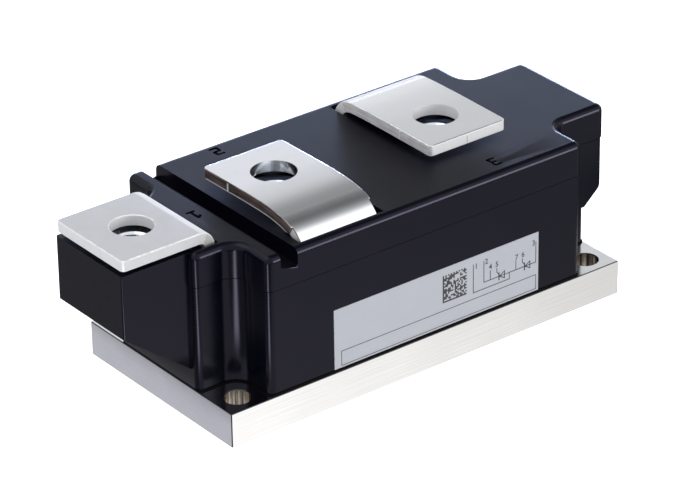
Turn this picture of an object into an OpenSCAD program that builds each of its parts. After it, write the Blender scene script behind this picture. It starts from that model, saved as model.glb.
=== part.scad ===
// Power thyristor module with three screw terminals on an insulated base plate.
// Millimetres. The origin is the centre of the base plate's underside, +Z is up,
// +X runs from terminal 1 to the control tabs, and the label is on the -Y side.

/* [Base plate] */
// Thickness of the base plate
plate_t = 9.5; // [8.5:0.5:14]
// How far the plate stands out past the housing's long sides
plate_rim = 0.7; // [0.5:0.1:3]
// Length of the plate at each end that the wide middle of the housing leaves free
corner_room = 12.55; // [12.4:0.05:16]
// Distance of the mounting holes from the plate's ends
mount_edge_x = 6.25; // [5:0.25:7]
// Distance of the mounting holes from the plate's long sides
mount_edge_y = 6; // [5:0.25:7]
// Diameter of the mounting holes
mount_hole_d = 7; // [5.5:0.1:7.5]
// Edge break at the mouths of the mounting holes
mount_chamfer = 0.2; // [0.2:0.1:0.6]

/* [Housing] */
// Width of the housing
body_w = 58.6; // [54:0.1:64]
// Distance from the centre of a stack to the end of the housing's wide middle
stack_end = 24.3; // [22.8:0.1:26]
// Distance of the necks' ends from the plate's ends
neck_inset = 0.1; // [0:0.05:2]
// Wall of the necks beside terminal 1's slot
neck_side = 1.8; // [1.6:0.05:3.5]
// Height of the housing above the base plate
housing_h = 38.2; // [36:0.2:44]
// Height of the lid
lid_h = 9.5; // [8.6:0.1:10]
// How far the lid stands out over the frame
lid_proud = 0.25; // [0.1:0.05:0.5]
// Wall thickness of the frame
wall = 2; // [1.6:0.1:2.4]
// Thickness of the lid's roof
roof_t = 3; // [2:0.1:3.5]
// Depth of the lip that locates the lid inside the frame
lip_h = 2; // [1:0.1:3]
// Thickness of the locating lip
lip_t = 1.2; // [0.8:0.1:1.5]
// Gap between the lip and the frame's wall
lip_gap = 0.15; // [0.05:0.05:0.3]
// Radius of the hollow corners that give room for the bolt heads
scallop_r = 5; // [4:0.1:6]
// Radius of the lid's top edge
edge_r = 1.9; // [0.8:0.1:2]
// How much larger the radius of the lid's upright corners is
corner_more = 0.15; // [0.05:0.05:1.5]
// Height of the shadow gap between the frame and the lid's rim
seam_gap_h = 0.3; // [0.1:0.05:0.6]
// Depth of the shadow gap under the lid's rim
seam_gap_d = 0.6; // [0.3:0.05:0.7]
// Distance of the creepage groove from the end of the housing's wide middle
groove_in = 3.7; // [2:0.1:4]
// Width of the creepage groove
groove_w = 5.2; // [4:0.1:5.6]
// Depth of the creepage groove
groove_d = 4.4; // [3:0.1:4.6]
// Thickness of the lid under the creepage groove
groove_floor_t = 2.2; // [1.5:0.1:2.6]

/* [Terminal block] */
// Length of the block that stands out under terminal 1
block_l = 19.6; // [19:0.2:24]
// How much narrower the block is than terminal 1, on each side
block_inset = 0.1; // [0:0.1:2]
// Drop of the block's top below the lid's top
block_drop = 0.4; // [0:0.1:1]
// Radius of the block's upright corners
block_corner_r = 0.5; // [0.3:0.1:1.5]
// Height of the block's outer face
block_face_h = 17.3; // [16:0.1:20]
// Drop of the sloping underside towards the neck
block_slope_h = 15; // [6:0.1:16]

/* [Control end] */
// How far the control end stands out past the neck
tab_l = 6.1; // [5:0.1:8]
// Height of the control end's upright face below the lid seam
tab_face_h = 13.1; // [13:0.1:15]
// Drop of the slope under the control end
tab_slope_h = 5.3; // [4:0.1:8]
// Width of each control socket
socket_w = 13; // [11.5:0.1:13.4]
// Height of each control socket
socket_h = 9.6; // [9.2:0.1:10]
// Depth of each control socket
socket_depth = 9.5; // [8:0.1:11]
// Thickness of the wall behind the sockets
socket_back = 2.5; // [1.5:0.1:3.5]
// Thickness of the roof over the sockets
socket_roof = 2; // [1.2:0.1:2.2]
// Thickness of the rib between the two sockets
socket_rib = 3; // [2:0.1:4]
// Width of a control tab
blade_w = 2.8; // [2:0.1:3.4]
// Thickness of a control tab
blade_t = 0.8; // [0.5:0.1:1]
// Length of a control tab
blade_l = 13; // [12:0.5:14]
// Distance between the two control tabs in one socket
blade_pitch = 6; // [5:0.1:6.5]
// Depth of the control tabs' tips behind the end face
blade_recess = 1; // [0.5:0.1:2]

/* [Terminals] */
// Distance between the centres of terminals 2 and 3
stack_pitch = 50.8; // [50:0.1:52]
// Distance of terminal 1's bolt hole from the neck's end
hole_1_out = 6.6; // [6.2:0.1:8.2]
// How far terminal 1's end stays back from the block's outer face
terminal_1_back = 0.3; // [0:0.1:1]
// Thickness of the terminal strip
strip_t = 3; // [2.4:0.1:3.4]
// Width of terminals 2 and 3
strip_w = 24.6; // [24.4:0.1:26]
// Width of terminal 1
strip_1_w = 28; // [25:0.1:30]
// How much narrower the strips are below their shoulders
shoulder = 1; // [0.4:0.1:2]
// Height of the top of terminals 2 and 3 above the lid
terminal_rise = 4.3; // [4.2:0.1:5.4]
// How much lower terminal 1 sits than the other two
terminal_1_drop = 0.6; // [0:0.1:0.8]
// Diameter of the bolt holes in the terminals
terminal_hole_d = 11; // [10.5:0.1:12]
// Distance from a bolt hole to the free end of terminals 2 and 3
free_end = 13.6; // [12:0.1:15]
// Corner radius of the terminals
strip_corner_r = 1.2; // [0.8:0.1:2.5]
// Inner radius of the wide bend of terminals 2 and 3
bend_r = 5.7; // [5:0.1:8.6]
// Inner radius of terminal 1's bend
bend_1_r = 2; // [1.5:0.1:2.4]
// Distance from the neck's end to the inner face of terminal 1's leg
leg_1_in = 8.4; // [7:0.1:8.8]
// Inner radius of the bends inside the housing
foot_bend_r = 1.5; // [1:0.1:2]
// Gap between a leg and the frame's wall
leg_gap = 0.2; // [0.1:0.05:0.4]
// Gap between a strip and the sides of its slot in the lid
slot_gap = 0.65; // [0.3:0.05:0.65]

/* [Terminal nuts] */
// Width across the flats of a terminal nut
nut_af = 16; // [15:0.5:17]
// Height of a terminal nut
nut_h = 8.4; // [6:0.1:9]
// Diameter of the thread's bore in a terminal nut
nut_bore_d = 8.5; // [8:0.1:9.5]
// Depth of the countersink at each end of the nut's thread
nut_mouth = 0.9; // [0.5:0.1:1.2]
// Gap around a nut in its pocket
nut_gap = 0.15; // [0.05:0.05:0.3]
// Depth of a nut's top below the lid
nut_sink = 0.7; // [0.1:0.1:1]
// Diameter of the room for the bolt's end below a nut
bolt_room_d = 12; // [11:0.1:13]
// Depth of the room for the bolt's end below a nut
bolt_room_h = 5.3; // [3:0.1:6]

/* [Rating label] */
// Length of the label
label_l = 65.6; // [40:0.1:80]
// Height of the label
label_h = 16.7; // [10:0.1:24]
// Thickness of the label
label_t = 0.15; // [0.1:0.05:0.3]
// Distance of the label's middle from the centre
label_x = 2.7; // [-6:0.1:6]
// Height of the label's lower edge above the base plate
label_up = 0.6; // [0.2:0.1:2]

/* [Thyristor stacks] */
// Diameter of a thyristor disc
chip_d = 30; // [27:0.5:31]
// Thickness of a thyristor disc
chip_t = 2.5; // [2:0.1:3]
// Width of the insulating margin around a thyristor disc
insulator_margin = 4; // [3:0.1:4.4]
// Thickness of an insulating disc
insulator_t = 1; // [0.6:0.1:1.5]
// Wall of the ring that centres a thyristor disc
ring_t = 1.5; // [1:0.1:2]
// Gap inside the centring ring
ring_gap = 0.15; // [0.05:0.05:0.3]
// Thickness of a cathode disc
cathode_t = 2; // [1.8:0.1:3]
// Width of the slot for the gate lead in a cathode disc
gate_slot_w = 2; // [1.6:0.1:2.6]
// Diameter of a gate pin
gate_pin_d = 2; // [1.5:0.1:2.4]
// Thickness of the middle busbar
bar_t = 2; // [1.5:0.1:2.4]
// Width of the middle busbar
bar_w = 20; // [14:0.5:22]
// Thickness of an insulating cup's floor
cup_floor = 1.5; // [1:0.1:2]
// Outer diameter of an insulating cup
cup_d = 30; // [29:0.5:31]
// Wall of an insulating cup
cup_wall = 1.5; // [1:0.1:2]
// Thickness of a pressure pad
pad_t = 2.5; // [2:0.1:3]
// Thickness of a spring plate
spring_t = 3; // [2:0.1:3.5]
// Diameter of the clamp screws
screw_d = 5; // [4:0.5:5]
// Diameter of the clamp screws' heads
head_d = 8.5; // [7:0.1:9]
// Height of the clamp screws' heads
head_h = 5; // [4:0.1:5.5]
// Width across the flats of the clamp screws' sockets
key_af = 4; // [3:0.5:5]
// Depth of the clamp screws in the base plate
screw_bite = 7; // [5:0.1:7.5]
// Diameter of the control leads
lead_d = 1.2; // [0.8:0.1:1.4]

/* [Hidden] */
$fn = 64;

// Overshoot of every cut past the face that it opens
over = 1;

// Outlines of the housing and the base plate
stack_x = stack_pitch / 2;
half_l = stack_x + stack_end;
half_w = body_w / 2;
plate_l = 2 * (half_l + corner_room);
plate_w = body_w + 2 * plate_rim;
mount_x = plate_l / 2 - mount_edge_x;
mount_y = plate_w / 2 - mount_edge_y;
neck_x = plate_l / 2 - neck_inset;
neck_hw = strip_1_w / 2 + slot_gap + neck_side;
groove_x0 = groove_in - half_l;
corner_r = edge_r + corner_more - lid_proud;
top_z = plate_t + housing_h;
block_w = strip_1_w - 2 * block_inset;
block_z = top_z - block_drop;
seam_z = top_z - lid_h;
lid_inset = wall + lip_gap + lip_t;
tab_x = neck_x + tab_l;
block_gap = 0.1;

// Control sockets and tabs
socket_z1 = seam_z - socket_roof;
socket_z0 = socket_z1 - socket_h;
socket_y = (socket_rib + socket_w) / 2;
blade_z = (socket_z0 + socket_z1) / 2;
blade_gap = 0.05;
blade_x1 = tab_x - blade_recess;
blade_x0 = blade_x1 - blade_l;
blade_tip = 1;
cavity_x1 = tab_x - socket_depth - socket_back;
blade_ys = [
  -socket_y - blade_pitch / 2, -socket_y + blade_pitch / 2,
  socket_y - blade_pitch / 2, socket_y + blade_pitch / 2
];

// Terminals: T2 bends down at the front, T3 at the back, T1 at the neck
hole_1_x = -neck_x - hole_1_out;
terminal_z = top_z + terminal_rise;
terminal_1_z = terminal_z - terminal_1_drop;
leg_w = strip_w - shoulder;
leg_y = half_w - wall - leg_gap;
leg_1_x = -neck_x + leg_1_in;
shoulder_angle = 30;
slot_back = 1;

// Nuts
nut_top = top_z - nut_sink;
nut_chamfer_rise = 1.2;
cup_wall_lid = 2;

// Heights in the two stacks, from the base plate up
stack_z0 = plate_t + insulator_t;
bar_z = stack_z0;
chip_a_z = bar_z + bar_t;
chip_b_z = stack_z0 + strip_t;
foot_2_z = chip_a_z + chip_t + cathode_t;
bar_up_z = chip_b_z + chip_t + cathode_t;
stack_top = foot_2_z + strip_t;
pad_z = stack_top + cup_floor;
spring_z = pad_z + pad_t;
ring_r = chip_d / 2 + ring_gap + ring_t;
contact_r = leg_w / 2;
screw_clear = 1;
screw_x = leg_w / 2 + screw_d / 2 + screw_clear;
screw_reach = chip_d / 2 + insulator_margin + screw_d / 2 + screw_clear;
screw_y = sqrt(screw_reach * screw_reach - screw_x * screw_x);
spring_edge = 4;
tap_gap = 0.05;
pad_gap = 0.2;
cup_rim_drop = 0.5;

// Middle busbar: the riser stands between the two stacks
riser_x = 1.5;

// Gate pins stop short of the contact above them
gate_pin_h = cathode_t - 0.4;
gate_hole_gap = 0.8;

// Seal in the frame's underside
seal_t = 0.7;
seal_in = 0.6;
seal_w = 0.8;

// Lanes of the four control leads: beside the clamp screws, then between the screws and the end wall
lead_sides = 8;
lead_steps = 2;
lead_gap = 1;
lead_off = lead_gap + lead_d / 2;
gap_x = (riser_x - stack_x + ring_r) / 2;
last_screw_x = stack_x + screw_x;
turn_x = screw_d / 2 + lead_off;
inner_y = screw_y + screw_d / 2 + lead_off;
outer_y = inner_y + lead_d + lead_gap;
high_z = spring_z - lead_off;
low_z = high_z - lead_d - lead_gap;
gate_a_z = chip_a_z + chip_t + cathode_t / 2;
gate_b_z = chip_b_z + chip_t + cathode_t / 2;
climb = 4.5;

// Straight stretch of a lead from x to the last screw
function lead_run(x, y, z) = [for (k = [0 : 4]) [x + k * (last_screw_x - x) / 5, y, z]];

// Last stretch of a lead: round the last screw, into the neck and up to tab i
function lead_end(i, y, z, rise) = [
  [last_screw_x, y, z],
  [last_screw_x + 0.7 * turn_x, 0.7 * y + 0.3 * sign(y) * screw_y, z],
  [last_screw_x + turn_x, sign(y) * screw_y, z + 0.3],
  [last_screw_x + turn_x + lead_d, 0.65 * blade_ys[i] + 0.35 * sign(y) * screw_y, z + rise],
  [blade_x0 - climb, blade_ys[i], blade_z - climb],
  [blade_x0, blade_ys[i], blade_z]
];

// From each stack: out between the stacks or beside stack B, and along a lane to a tab
gate_a_route = concat([
  [-stack_x + gate_pin_d / 2, 0, gate_a_z],
  [-stack_x + contact_r / 2, 0, gate_a_z],
  [-stack_x + contact_r, 0, gate_a_z],
  [gap_x - 4, -0.6, gate_a_z],
  [gap_x - 0.5, -0.16 * outer_y, gate_a_z],
  [gap_x, -0.36 * outer_y, gate_a_z + 0.3],
  [gap_x, -0.58 * outer_y, gate_a_z + 1.2],
  [gap_x + 1.5, -0.8 * outer_y, low_z - 1],
  [gap_x + 5, -0.96 * outer_y, low_z]
], lead_run(gap_x + 10, -outer_y, low_z), lead_end(0, -outer_y, low_z, 0.5));

cathode_a_route = concat([
  [-stack_x + contact_r, -0.45 * inner_y, foot_2_z + strip_t / 2],
  [-stack_x + contact_r + 3, -0.45 * inner_y, foot_2_z + strip_t / 2],
  [gap_x - 2, -0.48 * inner_y, high_z - 3],
  [gap_x + 1.5, -0.57 * inner_y, high_z - 2],
  [gap_x + 4, -0.75 * inner_y, high_z - 1],
  [gap_x + 7, -0.93 * inner_y, high_z - 0.2]
], lead_run(gap_x + 12, -inner_y, high_z), lead_end(1, -inner_y, high_z, 2.5));

gate_b_route = [
  [stack_x + gate_pin_d / 2, 0, gate_b_z],
  [stack_x + contact_r / 2, 0, gate_b_z],
  [stack_x + contact_r, 0, gate_b_z],
  [last_screw_x + 1, 0.5, gate_b_z + 0.3],
  [last_screw_x + turn_x, 0.3 * blade_ys[2], gate_b_z + 2.5],
  [last_screw_x + turn_x + 3, 0.7 * blade_ys[2], high_z + 2],
  [blade_x0 - climb / 2, blade_ys[2], blade_z - climb],
  [blade_x0, blade_ys[2], blade_z]
];

cathode_b_route = concat([
  [stack_x, contact_r, bar_up_z + bar_t / 2],
  [stack_x, contact_r + 3, bar_up_z + bar_t / 2],
  [stack_x + screw_x / 6, inner_y - 1.4, high_z - 2],
  [stack_x + screw_x / 2, inner_y, high_z - 1]
], lead_end(3, inner_y, high_z - 0.5, 1.5));

// Plain 2D helpers

// Square corner piece left outside a rounded corner of radius r
module corner_waste(r) {
  difference() {
    square(r + over);
    circle(r);
  }
}

// Rectangle from [x0, -hy] to [x1, hy] with rounded corners
module round_rect(x0, x1, hy, r) {
  difference() {
    translate([x0, -hy]) square([x1 - x0, 2 * hy]);
    for (m = [0, 1]) mirror([0, m]) {
      translate([x1 - r, hy - r]) corner_waste(r);
      translate([x0 + r, hy - r]) rotate(90) corner_waste(r);
    }
  }
}

// Outline of the housing from x0 to x1, with scalloped corners, grown by the given amount
module housing_outline(grow, x0, x1) {
  hl = half_l + grow;
  hw = half_w + grow;
  nw = neck_hw + grow;
  sr = scallop_r - grow;
  round_rect(-hl, hl, hw, corner_r + grow);
  round_rect(x0 - grow, x1 + grow, nw, corner_r + grow);
  for (mx = [0, 1]) for (my = [0, 1]) mirror([mx, 0]) mirror([0, my])
    translate([hl, nw]) difference() {
      translate([-over, -over]) square(sr + over);
      translate([sr, sr]) circle(sr);
    }
}

// Outline of the hollow inside the frame's wall
module cavity_outline(inset) {
  translate([inset - half_l, inset - half_w]) square(2 * [half_l - inset, half_w - inset]);
  translate([inset - neck_x, inset - neck_hw])
    square([neck_x + cavity_x1 + wall - 2 * inset, 2 * (neck_hw - inset)]);
}

// Hexagon with flats facing X
module hexagon(af) {
  rotate(30) circle(d = af / cos(30), $fn = 6);
}

// Cutters that round the lid's top edge

// Waste outside a quarter round: inward is +X, the top is Y = 0
module edge_profile(r) {
  difference() {
    translate([-over, -r]) square([r + over, r + over]);
    translate([r, -r]) circle(r);
  }
}

// Straight run along +X with the solid on its +Y side
module edge_run(len, r) {
  rotate([90, 0, 90]) linear_extrude(len) edge_profile(r);
}

// Outer corner of radius rc, over the quadrant +X +Y
module edge_corner(rc, r) {
  rotate_extrude(angle = 90) difference() {
    translate([rc - r, -r]) square([r + over, r + over]);
    translate([rc - r, -r]) circle(r);
  }
}

// Hollow corner of radius rs, over the quadrant +X +Y
module edge_scallop(rs, r) {
  rotate_extrude(angle = 90) difference() {
    translate([rs - over, -r]) square([r + over, r + over]);
    translate([rs + r, -r]) circle(r);
  }
}

// Every cutter along the lid's outline
module lid_edge_waste() {
  hl = half_l + lid_proud;
  hw = half_w + lid_proud;
  nw = neck_hw + lid_proud;
  rs = scallop_r - lid_proud;
  rc = corner_r + lid_proud;
  for (my = [0, 1]) mirror([0, my, 0]) translate([0, 0, top_z]) {
    translate([rc - hl, -hw, 0]) edge_run(2 * (hl - rc), edge_r);
    for (mx = [0, 1]) mirror([mx, 0, 0]) {
      end_x = (mx == 0 ? tab_x : neck_x) + lid_proud;
      translate([hl - rc, rc - hw, 0]) rotate(-90) edge_corner(rc, edge_r);
      translate([hl, rc - hw, 0]) rotate(90) edge_run(hw - rc - nw - rs, edge_r);
      translate([hl + rs, -nw - rs, 0]) rotate(90) edge_scallop(rs, edge_r);
      translate([hl + rs, -nw, 0]) edge_run(end_x - rc - hl - rs, edge_r);
      translate([end_x - rc, rc - nw, 0]) rotate(-90) edge_corner(rc, edge_r);
      translate([end_x, rc - nw, 0]) rotate(90) edge_run(nw - rc + over, edge_r);
    }
  }
}

// Bent strips, drawn as a profile in the plane of X and Z

// Quarter of a ring of thickness t around the radius r, in the quadrant of the signs qx and qz
module quarter_ring(r, t, qx, qz) {
  reach = r + t + over;
  intersection() {
    difference() {
      circle(r + t);
      circle(r);
    }
    translate([qx < 0 ? -reach : 0, qz < 0 ? -reach : 0]) square(reach);
  }
}

// Side of a terminal: plate with the hole at X = 0, bend, leg, and a foot that turns
// back under the plate (foot < 0) or away from it
module strip_profile(tail, out, r, z_top, z_foot, foot) {
  start = out - r - strip_t;
  bend_z = z_top - strip_t - r;
  leg_z = z_foot + strip_t + foot_bend_r;
  face = foot < 0 ? out - strip_t : out;
  translate([-tail, z_top - strip_t]) square([tail + start, strip_t]);
  translate([start, bend_z]) quarter_ring(r, strip_t, 1, 1);
  translate([out - strip_t, leg_z]) square([strip_t, bend_z - leg_z]);
  translate([face + sign(foot) * foot_bend_r, leg_z]) quarter_ring(foot_bend_r, strip_t, -sign(foot), -1);
  translate([foot < 0 ? face + foot : face + foot_bend_r, z_foot])
    square([abs(foot) - foot_bend_r, strip_t]);
}

// Region of the profile that is narrower than the plate: all that follows the shoulders
module narrow_region(out, r, z_top) {
  far = z_top;
  translate([out - r - strip_t, z_top - strip_t - r]) polygon([
    [-far, 0], [0, 0], far * [sin(shoulder_angle), cos(shoulder_angle)],
    far * [1, cos(shoulder_angle)], [far, -far], [-far, -far]
  ]);
}

// Terminal strip along +X with its hole at the origin and its foot's end rounded by a disc
module bent_strip(w, tail, out, r, z_top, z_foot, foot, end_r) {
  difference() {
    translate([0, w / 2, 0]) rotate([90, 0, 0]) linear_extrude(w)
      strip_profile(tail, out, r, z_top, z_foot, foot);
    translate([0, 0, z_top - strip_t - over]) cylinder(d = terminal_hole_d, h = strip_t + 2 * over);
    for (m = [0, 1]) mirror([0, m, 0]) {
      translate([strip_corner_r - tail, w / 2 - strip_corner_r, z_top - strip_t - over])
        rotate(90) linear_extrude(strip_t + 2 * over) corner_waste(strip_corner_r);
      translate([0, w / 2 + over, 0]) rotate([90, 0, 0]) linear_extrude(shoulder / 2 + over)
        narrow_region(out, r, z_top);
    }
  }
  if (end_r > 0) translate([out - strip_t + foot, 0, z_foot]) cylinder(r = end_r, h = strip_t);
}

// Outer pieces

module base_plate() {
  color("gainsboro") difference() {
    translate([-plate_l / 2, -plate_w / 2, 0]) cube([plate_l, plate_w, plate_t]);
    for (x = [-mount_x, mount_x], y = [-mount_y, mount_y]) translate([x, y, 0]) {
      translate([0, 0, -over]) cylinder(d = mount_hole_d, h = plate_t + 2 * over);
      translate([0, 0, plate_t - mount_chamfer])
        cylinder(d1 = mount_hole_d, d2 = mount_hole_d + 2 * (mount_chamfer + over), h = mount_chamfer + over);
    }
    screw_places() translate([0, 0, plate_t - screw_bite - tap_gap])
      cylinder(d = screw_d + 2 * tap_gap, h = screw_bite + over);
  }
}

module seal_shape(grow) {
  difference() {
    cavity_outline(seal_in - grow);
    cavity_outline(seal_in + seal_w + grow);
  }
}

module seal_bead() {
  color("dimgray") translate([0, 0, plate_t]) linear_extrude(seal_t) seal_shape(0);
}

// Block under terminal 1, with a sloping underside
module terminal_block() {
  x1 = -neck_x - block_l;
  face_z = block_z - block_face_h;
  intersection() {
    translate([0, block_w / 2, 0]) rotate([90, 0, 0]) linear_extrude(block_w) polygon([
      [-neck_x, block_z], [x1, block_z], [x1, face_z], [-neck_x, face_z - block_slope_h],
      [-neck_x + wall, face_z - block_slope_h], [-neck_x + wall, seam_z], [-neck_x, seam_z]
    ]);
    linear_extrude(top_z + over) round_rect(x1, 0, block_w / 2, block_corner_r);
  }
}

// Control end, with a sloping underside
module control_end() {
  face_z = seam_z - tab_face_h;
  intersection() {
    translate([0, neck_hw, 0]) rotate([90, 0, 0]) linear_extrude(2 * neck_hw) polygon([
      [cavity_x1, seam_z], [tab_x, seam_z], [tab_x, face_z],
      [neck_x, face_z - tab_slope_h], [cavity_x1, face_z - tab_slope_h]
    ]);
    linear_extrude(top_z) round_rect(0, tab_x, neck_hw, corner_r);
  }
}

// Pocket for a nut, with room for the bolt's end below it
module nut_pocket(x) {
  translate([x, 0, nut_top - nut_h]) {
    linear_extrude(nut_h + terminal_rise) hexagon(nut_af + 2 * nut_gap);
    translate([0, 0, -bolt_room_h]) cylinder(d = bolt_room_d, h = bolt_room_h + over);
  }
}

module control_sockets() {
  for (s = [-1, 1]) translate([tab_x - socket_depth, s * socket_y - socket_w / 2, socket_z0])
    cube([socket_depth + over, socket_w, socket_h]);
  for (y = blade_ys) translate([
    cavity_x1 - over, y - blade_w / 2 - blade_gap, blade_z - blade_t / 2 - blade_gap
  ])
    cube([socket_back + 2 * over, blade_w + 2 * blade_gap, blade_t + 2 * blade_gap]);
}

module housing_frame() {
  color([0.13, 0.13, 0.17]) difference() {
    union() {
      translate([0, 0, plate_t]) linear_extrude(seam_z - plate_t)
        housing_outline(0, -neck_x, neck_x);
      terminal_block();
      control_end();
    }
    translate([0, 0, plate_t - over]) linear_extrude(seam_z - plate_t + 2 * over) cavity_outline(wall);
    translate([0, 0, plate_t - over]) linear_extrude(seal_t + over) seal_shape(tap_gap);
    nut_pocket(hole_1_x);
    control_sockets();
  }
}

// Distance from a bend's start to its face of radius r at the height z
function bend_reach(r, z_centre, z) = sqrt(r * r - pow(max(0, z - z_centre), 2));

// Slot that a terminal's bend passes through: a mouth in the roof, and room for the leg below it
module strip_slot(out, w, r, z_top) {
  start = out - r - strip_t;
  z_centre = z_top - strip_t - r;
  side = w / 2 + slot_gap;
  mouth_0 = start + bend_reach(r, z_centre, top_z) - slot_back;
  mouth_1 = start + bend_reach(r + strip_t, z_centre, top_z - roof_t) + leg_gap;
  translate([mouth_0, -side, seam_z]) cube([mouth_1 - mouth_0, 2 * side, lid_h + over]);
  translate([mouth_0, -side, seam_z - lip_h - over])
    cube([out + leg_gap - mouth_0, 2 * side, lid_h + lip_h + over - roof_t]);
}

module lid() {
  roof_z = top_z - roof_t;
  low_roof_z = top_z - groove_d - groove_floor_t;
  deep_x = groove_x0 + groove_w + roof_t;
  cup_r = (nut_af + 2 * nut_gap) / cos(30) / 2 + cup_wall_lid;
  cup_z = nut_top - nut_h - bolt_room_h - cup_wall_lid;
  color([0.15, 0.15, 0.19]) difference() {
    union() {
      difference() {
        union() {
          translate([0, 0, seam_z]) linear_extrude(seam_gap_h)
            housing_outline(lid_proud - seam_gap_d, -neck_x, tab_x);
          translate([0, 0, seam_z + seam_gap_h]) linear_extrude(lid_h - seam_gap_h)
            housing_outline(lid_proud, -neck_x, tab_x);
        }
        lid_edge_waste();
        translate([0, 0, seam_z - over]) linear_extrude(low_roof_z - seam_z + over)
          cavity_outline(lid_inset);
        translate([deep_x, lid_inset - half_w, seam_z - over])
          cube([half_l - lid_inset - deep_x, 2 * (half_w - lid_inset), roof_z - seam_z + over]);
      }
      translate([0, 0, seam_z - lip_h]) linear_extrude(lip_h) difference() {
        cavity_outline(wall + lip_gap);
        cavity_outline(lid_inset);
      }
      for (s = [-1, 1]) translate([s * stack_x, 0, cup_z]) cylinder(r = cup_r, h = roof_z + over - cup_z);
    }
    translate([-neck_x + block_gap - block_l, -block_w / 2 - block_gap, seam_z - over])
      cube([block_l, block_w + 2 * block_gap, lid_h + 2 * over]);
    translate([groove_x0, -half_w - over, top_z - groove_d])
      cube([groove_w, body_w + 2 * over, groove_d + over]);
    for (x = [hole_1_x, -stack_x, stack_x]) nut_pocket(x);
    translate([-stack_x, 0, 0]) rotate(-90) strip_slot(leg_y, strip_w, bend_r, terminal_z);
    translate([stack_x, 0, 0]) rotate(90) strip_slot(leg_y, strip_w, bend_r, terminal_z);
    strip_slot(leg_1_x, strip_1_w, bend_1_r, terminal_1_z);
  }
}

module terminal_1() {
  foot = -stack_x - screw_x - screw_d / 2 - screw_clear - leg_1_x;
  color("silver") translate([hole_1_x, 0, 0]) bent_strip(
    strip_1_w, block_l - terminal_1_back - hole_1_out, leg_1_x - hole_1_x, bend_1_r,
    terminal_1_z, chip_a_z, foot, 0
  );
}

module terminal_2() {
  color("silver") translate([-stack_x, 0, 0]) rotate(-90) bent_strip(
    strip_w, free_end, leg_y, bend_r, terminal_z, foot_2_z, strip_t - leg_y, contact_r
  );
}

module terminal_3() {
  color("silver") translate([stack_x, 0, 0]) rotate(90) bent_strip(
    strip_w, free_end, leg_y, bend_r, terminal_z, stack_z0, strip_t - leg_y, ring_r
  );
}

module terminal_nut(x) {
  color("lightsteelblue") translate([x, 0, nut_top - nut_h]) difference() {
    intersection() {
      linear_extrude(nut_h) hexagon(nut_af);
      rotate_extrude() polygon([
        [0, 0], [nut_af / 2, 0], [nut_af / 2 / cos(30), nut_chamfer_rise],
        [nut_af / 2 / cos(30), nut_h - nut_chamfer_rise], [nut_af / 2, nut_h], [0, nut_h]
      ]);
    }
    translate([0, 0, -over]) cylinder(d = nut_bore_d, h = nut_h + 2 * over);
    for (m = [0, 1]) translate([0, 0, m * nut_h]) mirror([0, 0, m]) translate([0, 0, -over])
      cylinder(d1 = nut_bore_d + 2 * (nut_mouth + over), d2 = nut_bore_d, h = nut_mouth + over);
  }
}

module control_tab(i) {
  color("gold") translate([blade_x0, blade_ys[i], blade_z - blade_t / 2]) linear_extrude(blade_t) polygon([
    [0, -blade_w / 2], [blade_l - blade_tip, -blade_w / 2], [blade_l, -blade_w / 4],
    [blade_l, blade_w / 4], [blade_l - blade_tip, blade_w / 2], [0, blade_w / 2]
  ]);
}

module rating_label() {
  color("lightgray") translate([label_x - label_l / 2, -half_w - label_t, plate_t + label_up])
    cube([label_l, label_t, label_h]);
}

// Inner pieces

module insulator_disc(x) {
  color("white") translate([x, 0, plate_t]) cylinder(d = chip_d + 2 * insulator_margin, h = insulator_t);
}

// Flat bar under stack A that rises between the stacks and lies on top of stack B
module mid_busbar() {
  start = leg_1_x + foot_bend_r;
  low_bend_x = riser_x - foot_bend_r;
  up_bend_x = riser_x + bar_t + foot_bend_r;
  low_bend_z = bar_z + bar_t + foot_bend_r;
  up_bend_z = bar_up_z - foot_bend_r;
  color("peru") {
    translate([0, bar_w / 2, 0]) rotate([90, 0, 0]) linear_extrude(bar_w) {
      translate([start, bar_z]) square([low_bend_x - start, bar_t]);
      translate([low_bend_x, low_bend_z]) quarter_ring(foot_bend_r, bar_t, 1, -1);
      translate([riser_x, low_bend_z]) square([bar_t, up_bend_z - low_bend_z]);
      translate([up_bend_x, up_bend_z]) quarter_ring(foot_bend_r, bar_t, -1, 1);
      translate([up_bend_x, bar_up_z]) square([stack_x - up_bend_x, bar_t]);
    }
    translate([-stack_x, 0, bar_z]) cylinder(r = ring_r, h = bar_t);
    translate([stack_x, 0, bar_up_z]) cylinder(r = contact_r, h = bar_t);
  }
}

module thyristor_disc(x, z) {
  color("slategray") translate([x, 0, z]) cylinder(d = chip_d, h = chip_t);
}

module centring_ring(x, z) {
  color("ivory") translate([x, 0, z]) difference() {
    cylinder(r = ring_r, h = chip_t);
    translate([0, 0, -over]) cylinder(d = chip_d + 2 * ring_gap, h = chip_t + 2 * over);
  }
}

// Contact ring with a slot that lets the gate lead out
module cathode_disc(x, z) {
  color("peru") translate([x, 0, z + chip_t]) linear_extrude(cathode_t) difference() {
    circle(contact_r);
    circle(d = gate_pin_d + 2 * gate_hole_gap);
    translate([0, -gate_slot_w / 2]) square([contact_r + over, gate_slot_w]);
  }
}

module gate_pin(x, z) {
  color("gold") translate([x, 0, z + chip_t]) cylinder(d = gate_pin_d, h = gate_pin_h);
}

module insulating_cup(x) {
  color("ivory") translate([x, 0, stack_top]) difference() {
    cylinder(d = cup_d, h = cup_floor + pad_t - cup_rim_drop);
    translate([0, 0, cup_floor]) cylinder(d = cup_d - 2 * cup_wall, h = pad_t);
  }
}

module pressure_pad(x) {
  color("darkgray") translate([x, 0, pad_z]) cylinder(d = cup_d - 2 * cup_wall - 2 * pad_gap, h = pad_t);
}

// Places the children at the four screws of each stack
module screw_places() {
  for (s = [-1, 1]) translate([s * stack_x, 0, 0]) stack_screws() children();
}

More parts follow.
